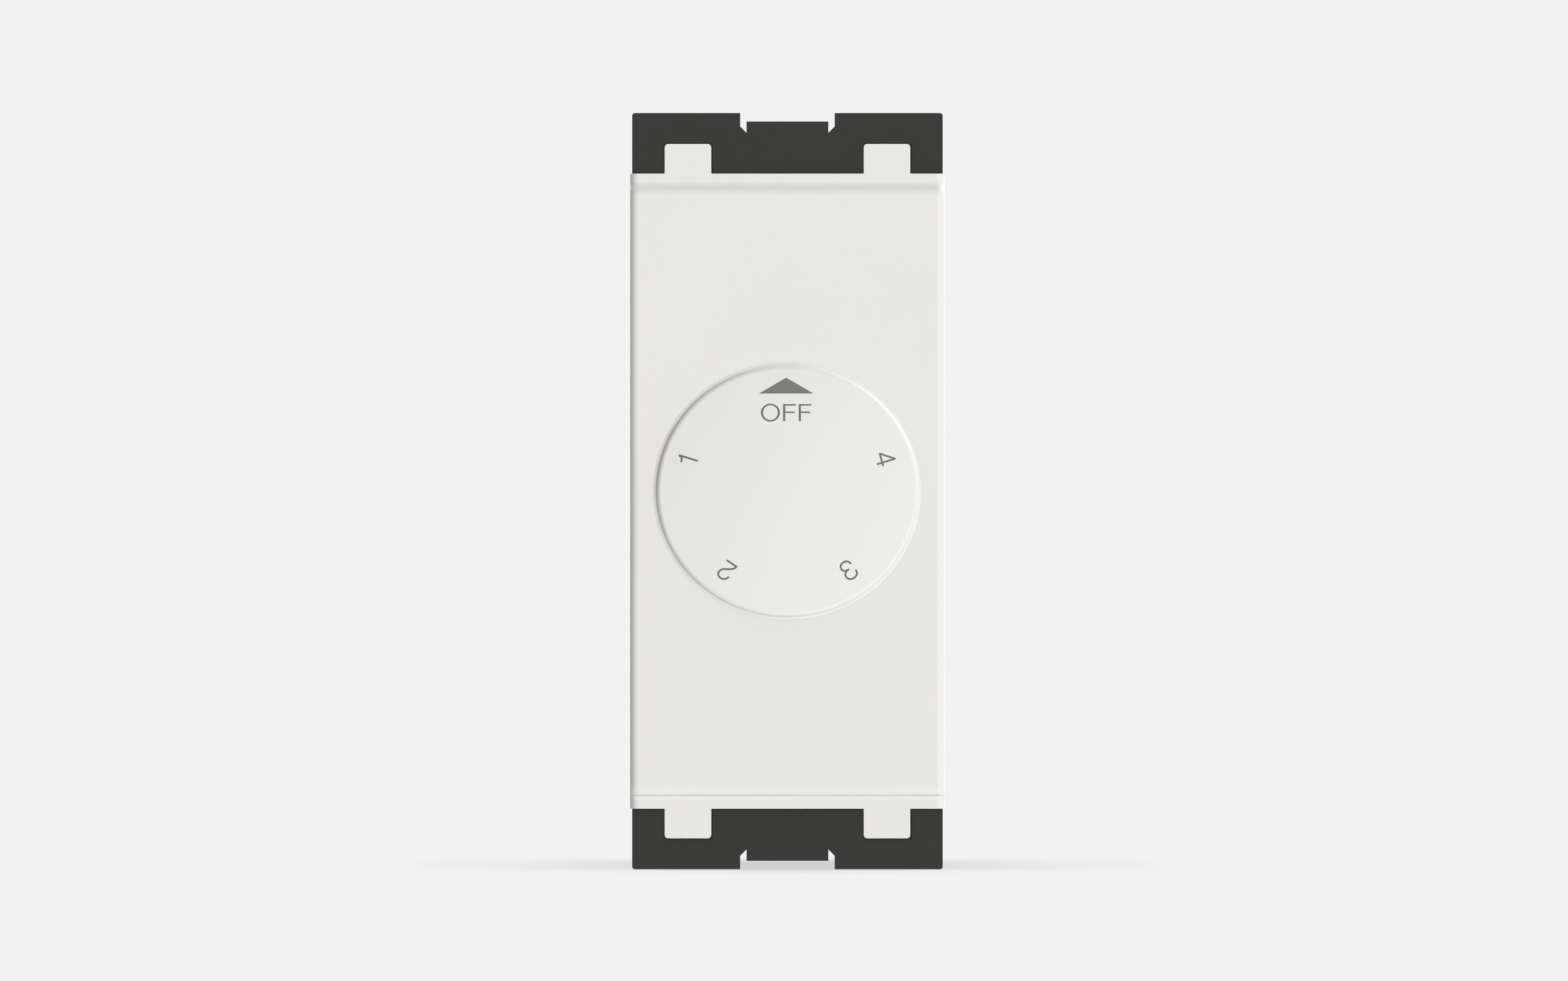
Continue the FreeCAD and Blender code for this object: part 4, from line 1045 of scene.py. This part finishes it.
@dataclass
class FrontCover:
    """White cover: plateau, softly curved steps, edge strips and tabs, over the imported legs.

    The front falls from the plateau at crest to the strip at foot, by a convex arc as far as
    bend and a concave one from there. Line is a fine groove along the lower step. The seam is
    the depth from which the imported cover's own back takes over.
    """

    finishes: Finishes
    half_width: float = 11.15
    half_height: float = 22.5
    plateau: float = -3.0
    strip: float = -2.5
    seam: float = -1.0
    side_round: float = 0.58
    crest: float = 20.87
    bend: float = 21.56
    foot: float = 21.93
    line: float = 21.53
    line_width: float = 0.065
    line_depth: float = 0.11
    line_wall: float = 0.005
    margin: float = 0.04
    tab_middle: float = 7.05
    tab_half: float = 1.65
    tab_end: float = 24.6
    tab_corner: float = 0.25
    well_radius: float = 8.27
    well_floor: float = -1.8
    hole_radius: float = 4.09
    well_around: int = 128
    pocket: tuple[Flat, Flat] = ((0.5, 9.85), (9.57, 19.6))
    pocket_floor: float = -1.8
    crease: float = 28.0

    def step_depth(self, height: float) -> float:
        """Depth of the front at a height: plateau, convex arc, concave arc, strip."""
        half_angle = math.atan((self.strip - self.plateau) / (self.foot - self.crest))
        steepest = math.sin(2 * half_angle)
        upper, lower = (self.bend - self.crest) / steepest, (self.foot - self.bend) / steepest
        if height <= self.crest:
            return self.plateau
        if height <= self.bend:
            return self.plateau + upper - math.sqrt(upper ** 2 - (height - self.crest) ** 2)
        if height < self.foot:
            return self.strip - lower + math.sqrt(lower ** 2 - (self.foot - height) ** 2)
        return self.strip

    def columns(self) -> list[float]:
        """Places across the width, close together where the sides are rounded."""
        bends = [self.half_width - self.side_round * (1 - math.sin(math.radians(10 * i)))
                 for i in range(10)]
        tab = [self.tab_middle + self.tab_half * share for share in (-1, -0.9, 0, 0.9, 1)]
        right = [bends[0] - self.margin, *bends]
        return sorted([-x for x in right + tab] + [0.0] + tab + right)

    def rows(self) -> list[float]:
        """Heights along the cover, close together at the steps and at the tabs' corners."""
        steps = [self.crest - self.margin, *spaced(self.crest, self.bend, 10),
                 *spaced(self.bend, self.foot, 7)[1:], self.foot + self.margin, self.half_height]
        corner = [self.tab_end - self.tab_corner * (1 - math.sin(math.radians(18 * i)))
                  for i in range(6)]
        upper = steps + corner
        groove = [self.line - self.line_wall, self.line, self.line + self.line_width]
        return sorted([-z for z in upper + groove] + [0.0] + upper)

    def rounded(self, x: float, height: float) -> Flat:
        """A place of the grid, pulled in at the tabs' corners to round them."""
        past = abs(height) - (self.tab_end - self.tab_corner)
        if past <= 0:
            return x, height
        middle = math.copysign(self.tab_middle, x)
        inward = self.tab_corner - math.sqrt(max(self.tab_corner ** 2 - past ** 2, 0))
        return middle + (x - middle) * (self.tab_half - inward) / self.tab_half, height

    def front_depth(self, x: float, height: float) -> float:
        """Depth of the front at a place, lower where the sides are rounded and in the fine line
        along the lower step."""
        over = abs(x) - (self.half_width - self.side_round)
        drop = self.side_round - math.sqrt(max(self.side_round ** 2 - over ** 2, 0)) if over > 0 else 0.0
        past = (-height - self.line) / self.line_width
        if 0 <= past < 1:
            drop += self.line_depth * (1 - past)
        return self.step_depth(abs(height)) + drop

    def plate(self) -> bpy.types.Object:
        """Closed plate with the tabs, from its front to the seam."""
        xs, zs = self.columns(), self.rows()
        edge = 1e-6

        def filled(i: int, j: int) -> bool:
            """Whether a cell of the grid belongs to the plate or to a tab."""
            if not (0 <= i < len(xs) - 1 and 0 <= j < len(zs) - 1):
                return False
            middle = abs(xs[i] + xs[i + 1]) / 2
            on_plate = max(abs(zs[j]), abs(zs[j + 1])) <= self.half_height + edge
            return on_plate or abs(middle - self.tab_middle) < self.tab_half - edge

        numbers: dict[tuple[int, int, int], int] = {}
        points: list[Point] = []

        def corner(i: int, j: int, back: int) -> int:
            """Number of a grid corner's point at the front or back, made on first use."""
            key = (i, j, back)
            if key not in numbers:
                x, z = self.rounded(xs[i], zs[j])
                numbers[key] = len(points)
                points.append((x, self.seam if back else self.front_depth(x, z), z))
            return numbers[key]

        faces = []
        for i in range(len(xs) - 1):
            for j in range(len(zs) - 1):
                if not filled(i, j):
                    continue
                around = [(i, j), (i + 1, j), (i + 1, j + 1), (i, j + 1)]
                faces.append([corner(*place, 0) for place in around])
                faces.append([corner(*place, 1) for place in reversed(around)])
                beside = [(i, j - 1), (i + 1, j), (i, j + 1), (i - 1, j)]
                for side, next_cell in enumerate(beside):
                    if not filled(*next_cell):
                        first, second = around[side], around[(side + 1) % 4]
                        faces.append([corner(*second, 0), corner(*first, 0), corner(*first, 1),
                                      corner(*second, 1)])
        return mesh_object("front_cover_shell", points, faces, self.finishes["cover_white"], self.crease)

    def cutter(self) -> bpy.types.Object:
        """What is hollow behind the front: the dial's well, the rotor's hole and the pockets."""
        past = self.seam + 1
        shapes = [lofted([circle(radius, depth, self.well_around) for radius, depth in (
            (self.well_radius, self.plateau - 1), (self.well_radius, self.well_floor),
            (self.hole_radius, self.well_floor), (self.hole_radius, past))])]
        (inner_x, outer_x), (inner_z, outer_z) = self.pocket
        for side in SIDES:
            for end in SIDES:
                x, z = sorted((side * inner_x, side * outer_x)), sorted((end * inner_z, end * outer_z))
                shapes.append(box((x[0], self.pocket_floor, z[0]), (x[1], past, z[1])))
        return mesh_object("cover_cutter", *joined(shapes), self.finishes["cover_white"])

    def behind_seam(self, frame: dict) -> bpy.types.Object:
        """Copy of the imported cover's back, with its legs, cut at the seam."""
        mesh = frame["nodes"]["front_cover"].data.copy()
        if mesh.has_custom_normals:
            mesh.attributes.remove(mesh.attributes["custom_normal"])
        work = bmesh.new()
        work.from_mesh(mesh)
        bmesh.ops.remove_doubles(work, verts=work.verts, dist=10 * WELD)
        work.to_mesh(mesh)
        work.free()
        reach = 40.0
        blade = mesh_object("seam_blade", *box((-reach, -reach, -reach), (reach, self.seam, reach)),
                            self.finishes["cover_white"])
        return carved(placed("front_cover_back", mesh), blade)

    def build(self, frame: dict) -> None:
        """Makes the cover and seats it."""
        front = carved(self.plate(), self.cutter())
        cover = merged("front_cover_moulding", [front, self.behind_seam(frame)])
        cover.data.materials.clear()
        cover.data.materials.append(self.finishes["cover_white"])
        cover.data.polygons.foreach_set("material_index", [0] * len(cover.data.polygons))
        cover.data.set_sharp_from_angle(angle=math.radians(self.crease))
        seat(cover, "module")
        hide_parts("front_cover")


@dataclass
class Carrier:
    """Dark carrier, with the marks that moulding leaves on it.

    Fields: witness, the points of the fine line where the mould's halves met, with its width
    and height; pins, where the ejector marks are on each side, with their radius and bead.
    """

    finishes: Finishes
    witness: tuple[Point, ...] = ((-2.92, -2.004, 25.36), (-2.72, -2.004, 25.02), (-2.48, -2.004, 24.72),
                                  (-2.22, -2.004, 24.46))
    witness_width: float = 0.07
    witness_height: float = 0.02
    pins: Point = (8.9, 0.012, 24.9)
    pin_radius: float = 0.9
    pin_bead: float = 0.05

    def build(self, frame: dict) -> None:
        """Dresses the node and adds the marks."""
        finish = self.finishes["carrier_black"]
        dress(frame, self.finishes, {"carrier_frame": "carrier_black"})
        line = strips_tree("witness_line", self.witness_width, self.witness_height)
        seat(line.grow("carrier_witness_line", [self.witness], finish), "module")
        marks = rings_tree("ejector_mark", self.pin_radius, self.pin_bead)
        x, y, z = self.pins
        places = [[(side * x, y, end * z)] for end in (1, -1) for side in SIDES]
        seat(marks.grow("carrier_ejector_marks", places, finish), "module")


@dataclass
class Housing:
    """Deep rear housing, with the marks of its mould, a strip gauge, collars and finger ribs.

    Fields: half_width, half_height and corner of its outline; parting_slopes, how far each
    edge of the parting line's ridge stands out and how far it is off parting_depth;
    gauge_depth, from where to where the strip gauge goes; back, the depth of the back;
    entry_height and access_depth, where the wire entries and the screw holes lie; entry,
    screw, ejector and gate, the radius and bead of the rings there; rib_depths, the first and
    the last finger rib and their number.
    """

    finishes: Finishes
    half_width: float = 11.0
    half_height: float = 21.5
    corner: float = 1.0
    parting_depth: float = 32.5
    parting_slopes: tuple[Flat, ...] = ((-0.05, -0.09), (0.03, -0.02), (0.03, 0.02), (-0.05, 0.09))
    gauge_depth: Flat = (23.6, 33.6)
    gauge_height: float = -17.6
    gauge_rise: float = 0.1
    gauge_bar: float = 0.4
    gauge_stop: float = 2.0
    gauge_root: float = 0.1
    back: float = 36.0
    entry_sink: float = 0.02
    entry_height: float = 10.8
    access_depth: float = 30.4
    entry: Flat = (2.75, 0.16)
    screw: Flat = (2.45, 0.14)
    ejector: Flat = (1.1, 0.05)
    gate: Flat = (0.8, 0.07)
    ejector_place: Flat = (7.9, 18.2)
    rib_depths: tuple[float, float, int] = (26.6, 31.0, 6)
    rib_radius: float = 0.3
    rib_length: float = 15.0
    rib_rise: float = 0.11

    def outline(self, grow: float) -> list[Flat]:
        """Rounded rectangle of the housing, grown by a height."""
        points = []
        flat_x, flat_z = self.half_width - self.corner, self.half_height - self.corner
        for quarter, (side_x, side_z) in enumerate(((1, 1), (-1, 1), (-1, -1), (1, -1))):
            for turn in map(math.radians, spaced(90 * quarter, 90 * quarter + 90, 7)):
                points.append((side_x * flat_x + (self.corner + grow) * math.cos(turn),
                               side_z * flat_z + (self.corner + grow) * math.sin(turn)))
        return points

    def parting_line(self) -> bpy.types.Object:
        """Fine ridge round the housing where the mould's halves met."""
        rings = [[(x, self.parting_depth + shift, z) for x, z in self.outline(grow)]
                 for grow, shift in self.parting_slopes]
        return mesh_object("housing_parting_line", *lofted(rings, True), self.finishes["housing_black"])

    def strip_gauge(self) -> bpy.types.Object:
        """Raised bar with two end stops, as long as a wire is stripped."""
        first, last = self.gauge_depth
        wall, top = self.half_width - self.gauge_root, self.half_width + self.gauge_rise
        bars = ((first, last, self.gauge_bar), (first, first + self.gauge_bar, self.gauge_stop),
                (last - self.gauge_bar, last, self.gauge_stop))
        middle = self.gauge_height
        shapes = [box((wall, start, middle - width / 2), (top, stop, middle + width / 2))
                  for start, stop, width in bars]
        return mesh_object("housing_strip_gauge", *joined(shapes), self.finishes["housing_black"])

    def marks(self) -> list[bpy.types.Object]:
        """Collars round the wire entries and screw holes, ejector rings, gate mark and ribs."""
        finish, flat = self.finishes["housing_black"], math.pi / 2
        pin_x, pin_z = self.ejector_place
        rings = {
            "housing_entry_collars": (self.entry, flat, [
                [(0.0, self.back - self.entry_sink, end * self.entry_height)] for end in SIDES]),
            "housing_screw_collars": (self.screw, 0.0, [
                [(0.0, self.access_depth, end * self.half_height)] for end in SIDES]),
            "housing_ejector_rings": (self.ejector, flat, [
                [(side * pin_x, self.back, end * pin_z)] for side in SIDES for end in SIDES]),
            "housing_gate_mark": (self.gate, flat, [[(0.0, self.back, 0.0)]])}
        made = [rings_tree(name, *sizes, tilt).grow(name, places, finish)
                for name, (sizes, tilt, places) in rings.items()]
        side_x = self.half_width - self.rib_radius + self.rib_rise
        places = [[(side * side_x, depth, 0.0)] for side in SIDES for depth in spaced(*self.rib_depths)]
        ribs = solids_tree("finger_ribs", "GeometryNodeMeshCylinder", 20, 1,
                           Radius=self.rib_radius, Depth=self.rib_length)
        return [*made, ribs.grow("housing_finger_ribs", places, finish)]

    def build(self, frame: dict) -> None:
        """Dresses the housing and adds its marks."""
        dress(frame, self.finishes, {"rear_housing": "housing_black"})
        for piece in (*self.marks(), self.parting_line(), self.strip_gauge()):
            seat(piece, "module")


# The switch

@dataclass
class SwitchWorks:
    """Rotor, springs and contacts behind the dial."""

    finishes: Finishes
    looks: dict[str, str] = field(default_factory=lambda: {
        "rotor_shaft": "rotor_acetal", "retaining_clip": "spring_strip", "index_spring": "spring_strip",
        "contact_spring": "spring_strip", "wiper_contact": "contact_bronze",
        "fixed_contacts": "contact_brass", "common_ring": "contact_brass"})

    def build(self, frame: dict) -> None:
        """Dresses every node of the switch."""
        dress(frame, self.finishes, self.looks)


@dataclass
class Board:
    """Circuit board with its tracks and solder, and the parts that it carries.

    Fields: places of the leads, resistors and pins; contact_circle, the radius that the fixed
    contacts lie on; ring_x, where the common ring's tab is; track, the width and thickness of
    a track, and track_lift, how far its middle is off the board; joint, the radius and height
    of a solder joint, and joint_top, the share of that radius at its top; looks, the finish of
    each node.
    """

    finishes: Finishes
    lead_x: float = 7.5
    lead_heights: Flat = (7.6, -10.8)
    bleed_height: float = 13.7
    series_height: float = -17.12
    series_x: float = 3.8
    pin_height: float = 19.0
    contact_circle: float = 6.8
    ring_x: float = 4.0
    track: Flat = (0.9, 0.05)
    track_lift: float = 0.02
    joint: Flat = (0.95, 0.34)
    joint_top: float = 0.42
    looks: dict[str, str] = field(default_factory=lambda: {
        "circuit_board": "paper_laminate", "capacitor_large": "capacitor_shell",
        "capacitor_small": "capacitor_shell", "bleed_resistor_upper": "resistor_lacquer",
        "bleed_resistor_lower": "resistor_lacquer", "series_resistor": "resistor_ceramic"})

    def contact_place(self, step: int) -> Flat:
        """Middle of a fixed contact, counted clockwise from the top."""
        turn = math.radians(72 * step)
        return self.contact_circle * math.sin(turn), self.contact_circle * math.cos(turn)

    def front_paths(self) -> list[list[Flat]]:
        """Routes of the tracks on the side that faces the room."""
        high, low = self.lead_heights
        paths = []
        for side in SIDES:
            paths.append([(side * 2.9, self.bleed_height), (side * 5.2, self.bleed_height),
                          (side * self.lead_x, self.bleed_height - 2.6), (side * self.lead_x, high)])
            paths.append([(side * 2.9, -self.bleed_height), (side * 5.4, -self.bleed_height),
                          (side * self.lead_x, low - 1.2), (side * self.lead_x, low)])
        x, z = self.contact_place(1)
        paths.append([(x + 1.2, z), (8.6, z + 1.4), (8.6, high), (self.lead_x, high)])
        x, z = self.contact_place(2)
        paths.append([(x + 0.8, z - 0.9), (6.4, low + 2.6), (self.lead_x, low + 1.2), (self.lead_x, low)])
        x, z = self.contact_place(3)
        paths.append([(x - 0.8, z - 0.9), (-6.4, low + 2.6), (-self.lead_x, low + 1.2), (-self.lead_x, low)])
        paths.append([(0.0, self.pin_height), (-4.6, self.pin_height - 0.6), (-8.7, 15.4), (-8.7, 8.8),
                      (-self.lead_x, high)])
        paths.append([(0.0, -self.pin_height), (8.7, -self.pin_height), (8.7, low - 1.4), (self.lead_x, low)])
        return paths

    def back_paths(self) -> list[list[Flat]]:
        """Routes of the tracks on the side of the capacitors."""
        paths = []
        for step, (x, z) in ((3, (-self.series_x, self.series_height)), (0, (2.4, 13.6))):
            start = self.contact_place(step)
            paths.append([start, ((start[0] + x) / 2 - 1.0, (start[1] + z) / 2), (x, z)])
        paths.append([(-self.ring_x, 0.0), (-6.2, -1.6), (-6.2, -6.4), (-8.9, -9.0), (-8.9, -15.4),
                      (-self.series_x, self.series_height)])
        paths.append([(self.series_x, self.series_height), (8.4, -15.2), (8.4, -4.4),
                      self.contact_place(1)])
        return paths

    def build(self, frame: dict) -> None:
        """Dresses the board's nodes and adds copper and solder."""
        dress(frame, self.finishes, self.looks)
        low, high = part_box("circuit_board")
        front, back = low.y / MM, high.y / MM
        tracks = strips_tree("tracks", *self.track)
        for name, paths, depth in (("board_tracks_front", self.front_paths(), front - self.track_lift),
                                   ("board_tracks_back", self.back_paths(), back + self.track_lift)):
            laid = [[(x, depth, z) for x, z in path] for path in paths]
            seat(tracks.grow(name, laid, self.finishes["track_copper"]), "module")
        joints = [[(side * self.lead_x, front, z)] for side in SIDES for z in self.lead_heights]
        joints += [[(0.0, front, side * self.pin_height)] for side in SIDES]
        radius, height = self.joint
        solder = solids_tree("solder_joints", "GeometryNodeMeshCone", 16, 3, math.pi / 2,
                             Radius_Top=radius * self.joint_top, Radius_Bottom=radius, Depth=height)
        seat(solder.grow("board_solder_front", joints, self.finishes["solder_tin"]),
             "module")


# The wire terminals

@dataclass
class Terminal:
    """One wire terminal: threaded screw, cage with a grooved clamp, and its busbar.

    Fields: end of the module; axis_y, the depth of the screw's axis; heights from the dial's
    axis to the screw's tip and to both sides of its head; radii of head, shank, thread root
    and point; shank_gap, by how much the shank is drawn thinner; thread_ends, how far the
    thread stops before tip and head; clamp_face, the height of the face that presses the wire.
    """

    finishes: Finishes
    end: End
    axis_y: float = 30.4
    tip: float = 13.42
    head_inner: float = 18.5
    head_outer: float = 20.2
    head_radius: float = 2.2
    head_bevel: float = 0.25
    shank_radius: float = 1.5
    shank_gap: float = 0.02
    root_radius: float = 1.22
    point_radius: float = 1.15
    slot_width: float = 0.7
    slot_depth: float = 0.9
    pitch: float = 0.5
    thread_ends: float = 0.55
    clamp_face: float = 9.0
    groove_count: int = 7
    groove_reach: float = 2.3
    groove_margin: float = 0.7
    groove_lift: float = 0.03
    groove_bar: Flat = (0.16, 0.22)

    def profile(self) -> list[Flat]:
        """Radius and height of the screw's outline from its tip to its head."""
        neck, head = self.shank_radius - self.shank_gap, self.head_radius
        return [(self.point_radius, self.tip), (self.point_radius + 0.05, self.tip + 0.3),
                (self.root_radius, self.tip + 0.4), (self.root_radius, self.head_inner - 0.45),
                (neck, self.head_inner - 0.3), (neck, self.head_inner),
                (head - 0.06, self.head_inner), (head, self.head_inner + 0.06),
                (head, self.head_outer - self.head_bevel), (head - 0.08, self.head_outer - 0.1),
                (head - self.head_bevel, self.head_outer)]

    def screw(self) -> bpy.types.Object:
        """Screw body with its slotted head."""
        side, finish = self.end.value, self.finishes["zinc_plate"]
        rings = [[(radius * math.cos(turn), self.axis_y + radius * math.sin(turn), side * height)
                  for turn in turns(64)] for radius, height in self.profile()]
        body = mesh_object(f"{self.end.word}_screw_body", *lofted(rings), finish, crease=25)
        reach, half = self.head_radius + 1, self.slot_width / 2
        low, high = sorted((side * (self.head_outer - self.slot_depth), side * (self.head_outer + 1)))
        cutter = mesh_object("slot_cutter", *box((-reach, self.axis_y - half, low),
                                                 (reach, self.axis_y + half, high)), finish)
        return carved(body, cutter)

    def thread(self) -> bpy.types.Object:
        """Helical ridge of the screw, from a spiral curve."""
        start, stop = self.tip + self.thread_ends, self.head_inner - self.thread_ends
        low = start if self.end is End.LINE else -stop
        depth = self.shank_radius - self.shank_gap - self.root_radius
        tree = Growing(f"{self.end.word}_thread", {
            "Radius": (self.root_radius + depth / 3) * MM, "Height": (stop - start) * MM,
            "Turns": (stop - start) / self.pitch, "Ridge": depth * 2 / 3 * MM})
        spiral = tree.add("GeometryNodeCurveSpiral", Resolution=40, Rotations=tree.given("Turns"),
                          Start_Radius=tree.given("Radius"), End_Radius=tree.given("Radius"),
                          Height=tree.given("Height"))
        upright = tree.add("GeometryNodeSetCurveNormal", {"mode": "Z_UP"}, Curve=spiral.outputs["Curve"])
        ridge = tree.add("GeometryNodeCurvePrimitiveCircle", {"mode": "RADIUS"}, Resolution=4,
                         Radius=tree.given("Ridge"))
        swept = tree.add("GeometryNodeCurveToMesh", Curve=upright.outputs["Curve"],
                         Profile_Curve=ridge.outputs["Curve"], Fill_Caps=True)
        moved = tree.add("GeometryNodeTransform", Geometry=swept.outputs["Mesh"],
                         Translation=(0.0, self.axis_y * MM, low * MM))
        tree.end(moved.outputs["Geometry"])
        return tree.grow(f"{self.end.word}_screw_thread", [[(0.0, 0.0, 0.0)]], self.finishes["zinc_plate"])

    def grooves(self) -> bpy.types.Object:
        """Bars across the cage's clamp face that bite into the wire."""
        low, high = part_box(f"{self.end.word}_cage")
        height = self.end.value * (self.clamp_face + self.groove_lift)
        depths = spaced(low.y / MM + self.groove_margin, high.y / MM - self.groove_margin, self.groove_count)
        paths = [[(side * self.groove_reach, depth, height) for side in SIDES] for depth in depths]
        tree = strips_tree(f"{self.end.word}_clamp_bars", *self.groove_bar)
        return tree.grow(f"{self.end.word}_clamp_grooves", paths, self.finishes["zinc_plate"])

    def build(self, frame: dict) -> None:
        """Makes the screw, dresses the nodes and seats the pieces on their bodies."""
        word = self.end.word
        dress(frame, self.finishes, {f"{word}_busbar": "busbar_brass", f"{word}_cage": "zinc_plate",
                                     f"{word}_screw": "zinc_plate"})
        body = merged(f"{word}_terminal_screw_threaded", [self.screw(), self.thread()])
        seat(body, f"{word}_terminal_screw")
        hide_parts(f"{word}_screw")
        seat(self.grooves(), f"{word}_terminal_cage")


# Camera, light and floor

@dataclass(frozen=True)
class Lamp:
    """A broad lamp far away.

    Fields: name; off_axis, the angle between it and the view straight at the cover;
    clockwise, where it stands round that view from the top; share of the light that a
    surface facing it would need to render as written; casts, whether it casts shadows.
    """

    name: str
    off_axis: float
    clockwise: float
    share: float
    casts: bool = False

    def towards(self) -> Vector:
        """Direction from the object to the lamp."""
        lean, turn = math.radians(self.off_axis), math.radians(self.clockwise)
        return Vector((math.sin(lean) * math.sin(turn), -math.cos(lean), math.sin(lean) * math.cos(turn)))

    def light(self, full: float, spread: float) -> None:
        """Hangs the lamp.

        Args:
            full: Strength of a share of 1.
            spread: Width of the lamp in degrees.
        """
        data = bpy.data.lights.new(self.name, "SUN")
        data.energy = self.share * full
        data.angle = math.radians(spread)
        data.use_shadow = self.casts
        data.cycles.max_bounces = 0
        placed(self.name, data).rotation_euler = self.towards().to_track_quat("Z", "Y").to_euler()


@dataclass
class Studio:
    """Camera at the photograph's view, soft light and a pale floor.

    Fields: frame_pixels, the photograph's size; pixel, the millimetres in one of its pixels;
    axis_pixel, where the dial's axis lies in it; scale_depth, the depth at which that scale
    holds; distance of the camera; full, the strength of a lamp with a share of 1; ambient,
    the share of the even light; spread, the width of a lamp in degrees; the floor's drop
    under the part and its reach; contact_reach and contact_shade, how far the painted contact
    shadow on the floor reaches and down to which share it darkens the floor's colour; lamps.
    """

    frame_pixels: tuple[int, int] = (2416, 1512)
    pixel: float = 0.04597
    axis_pixel: Flat = (1213.3, 757.0)
    scale_depth: float = -2.4
    distance: float = 1500.0
    background: Colour = field(default_factory=lambda: linear(242, 242, 242))
    full: float = 3.35
    ambient: float = 0.15
    spread: float = 20.0
    floor_drop: float = 0.02
    floor_reach: float = 600.0
    contact_reach: float = 22.0
    contact_shade: float = 0.72
    lamps: tuple[Lamp, ...] = (
        Lamp("upper", 45, 330, 0.247), Lamp("upper_right", 45, 45, 0.274),
        Lamp("right", 60, 60, 0.189), Lamp("right_low", 60, 120, 0.318),
        Lamp("low_right", 45, 150, 0.103), Lamp("low_left", 45, 210, 0.07),
        Lamp("low_grazing", 75, 180, 0.432), Lamp("rear_right_edge", 120, 45, 0.534),
        Lamp("rear_left", 152, 303, 0.6, True), Lamp("rear_right", 140, 70, 0.14, True))

    def camera(self) -> None:
        """Looks straight at the cover, framed as the photograph is."""
        data = bpy.data.cameras.new("photo_view")
        width = self.frame_pixels[0] * self.pixel
        data.sensor_width = 36.0
        data.lens = data.sensor_width * (self.distance + self.scale_depth) / width
        data.clip_start, data.clip_end = 0.05, 20.0
        view = placed("photo_view", data)
        across = (self.frame_pixels[0] / 2 - self.axis_pixel[0]) * self.pixel
        up = -(self.frame_pixels[1] / 2 - self.axis_pixel[1]) * self.pixel
        view.location = Vector((across, -self.distance, up)) * MM
        view.rotation_euler = (math.pi / 2, 0, 0)
        bpy.context.scene.camera = view

    def world(self) -> None:
        """Even ambient light, with the pale background where it is seen directly."""
        world = bpy.data.worlds.new("studio")
        world.use_nodes = True
        bpy.context.scene.world = world
        sky = Tree(world.node_tree)
        sky.tree.nodes.clear()
        shades = [sky.add("ShaderNodeBackground", Color=(*colour, 1), Strength=strength)
                  for colour, strength in ((grey(1.0), self.ambient * self.full / math.pi),
                                           (self.background, 1.0))]
        seen = sky.blended(sky.seen_directly(), *(shade.outputs["Background"] for shade in shades))
        sky.add("ShaderNodeOutputWorld", Surface=seen)

    def floor_material(self) -> bpy.types.Material:
        """Pale floor, in the background's colour where it is seen directly, with a painted shadow
        that darkens that colour where the object stands over it, and clear from below."""
        look = Shading("pale_floor")
        look.shows(Base_Color=(*self.background, 1), Roughness=0.8, Specular_IOR_Level=0.0)
        # Painted contact shadow: ambient occlusion darkens the floor's emitted colour near the object, in
        # place of a shadow from the lamps.
        shade = look.add("ShaderNodeAmbientOcclusion", {"samples": 12}, Distance=self.contact_reach * MM)
        painted_shadow_colour = tuple(share * self.contact_shade for share in self.background)
        painted_shadow_floor = look.mixed(look.ranged(shade.outputs["AO"], 0.0, 1.0, 0.25, 0.95), painted_shadow_colour, self.background)
        glow = look.add("ShaderNodeEmission", Color=painted_shadow_floor)
        above = look.blended(look.seen_directly(), look.shader.outputs["BSDF"], glow.outputs["Emission"])
        under = look.add("ShaderNodeNewGeometry").outputs["Backfacing"]
        clear = look.add("ShaderNodeBsdfTransparent").outputs["BSDF"]
        look.feed(look.output.inputs["Surface"], look.blended(under, above, clear))
        return look.material

    def floor(self, lowest: float) -> None:
        """Plain floor under the object's lowest point."""
        reach, height = self.floor_reach, lowest - self.floor_drop
        made = mesh_object("floor", [(-reach, -reach, height), (reach, -reach, height),
                                     (reach, reach, height), (-reach, reach, height)],
                           [[0, 1, 2, 3]], self.floor_material())
        if made.data.polygons[0].normal.z < 0:
            made.data.flip_normals()
        made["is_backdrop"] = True

    def build(self, lowest: float) -> None:
        """Sets the camera, the lamps, the world and the floor."""
        self.camera()
        for lamp in self.lamps:
            lamp.light(self.full, self.spread)
        self.world()
        self.floor(lowest)
        bpy.context.scene.view_settings.view_transform = "Standard"


def corners(limits: tuple[Vector, Vector]) -> list[list[float]]:
    """A box as plain lists."""
    return [list(limit) for limit in limits]


def main() -> None:
    """Builds the sub-assemblies in order."""
    logging.basicConfig(level=logging.INFO, format="%(name)s: %(message)s")
    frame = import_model()
    packed = corners(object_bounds())
    Studio().build(packed[0][2] / MM)
    finishes = Finishes()
    Dial(finishes).build(frame)
    FrontCover(finishes).build(frame)
    Carrier(finishes).build(frame)
    Housing(finishes).build(frame)
    SwitchWorks(finishes).build(frame)
    Board(finishes).build(frame)
    for end in End:
        Terminal(finishes, end).build(frame)


if __name__ == "__main__":
    main()
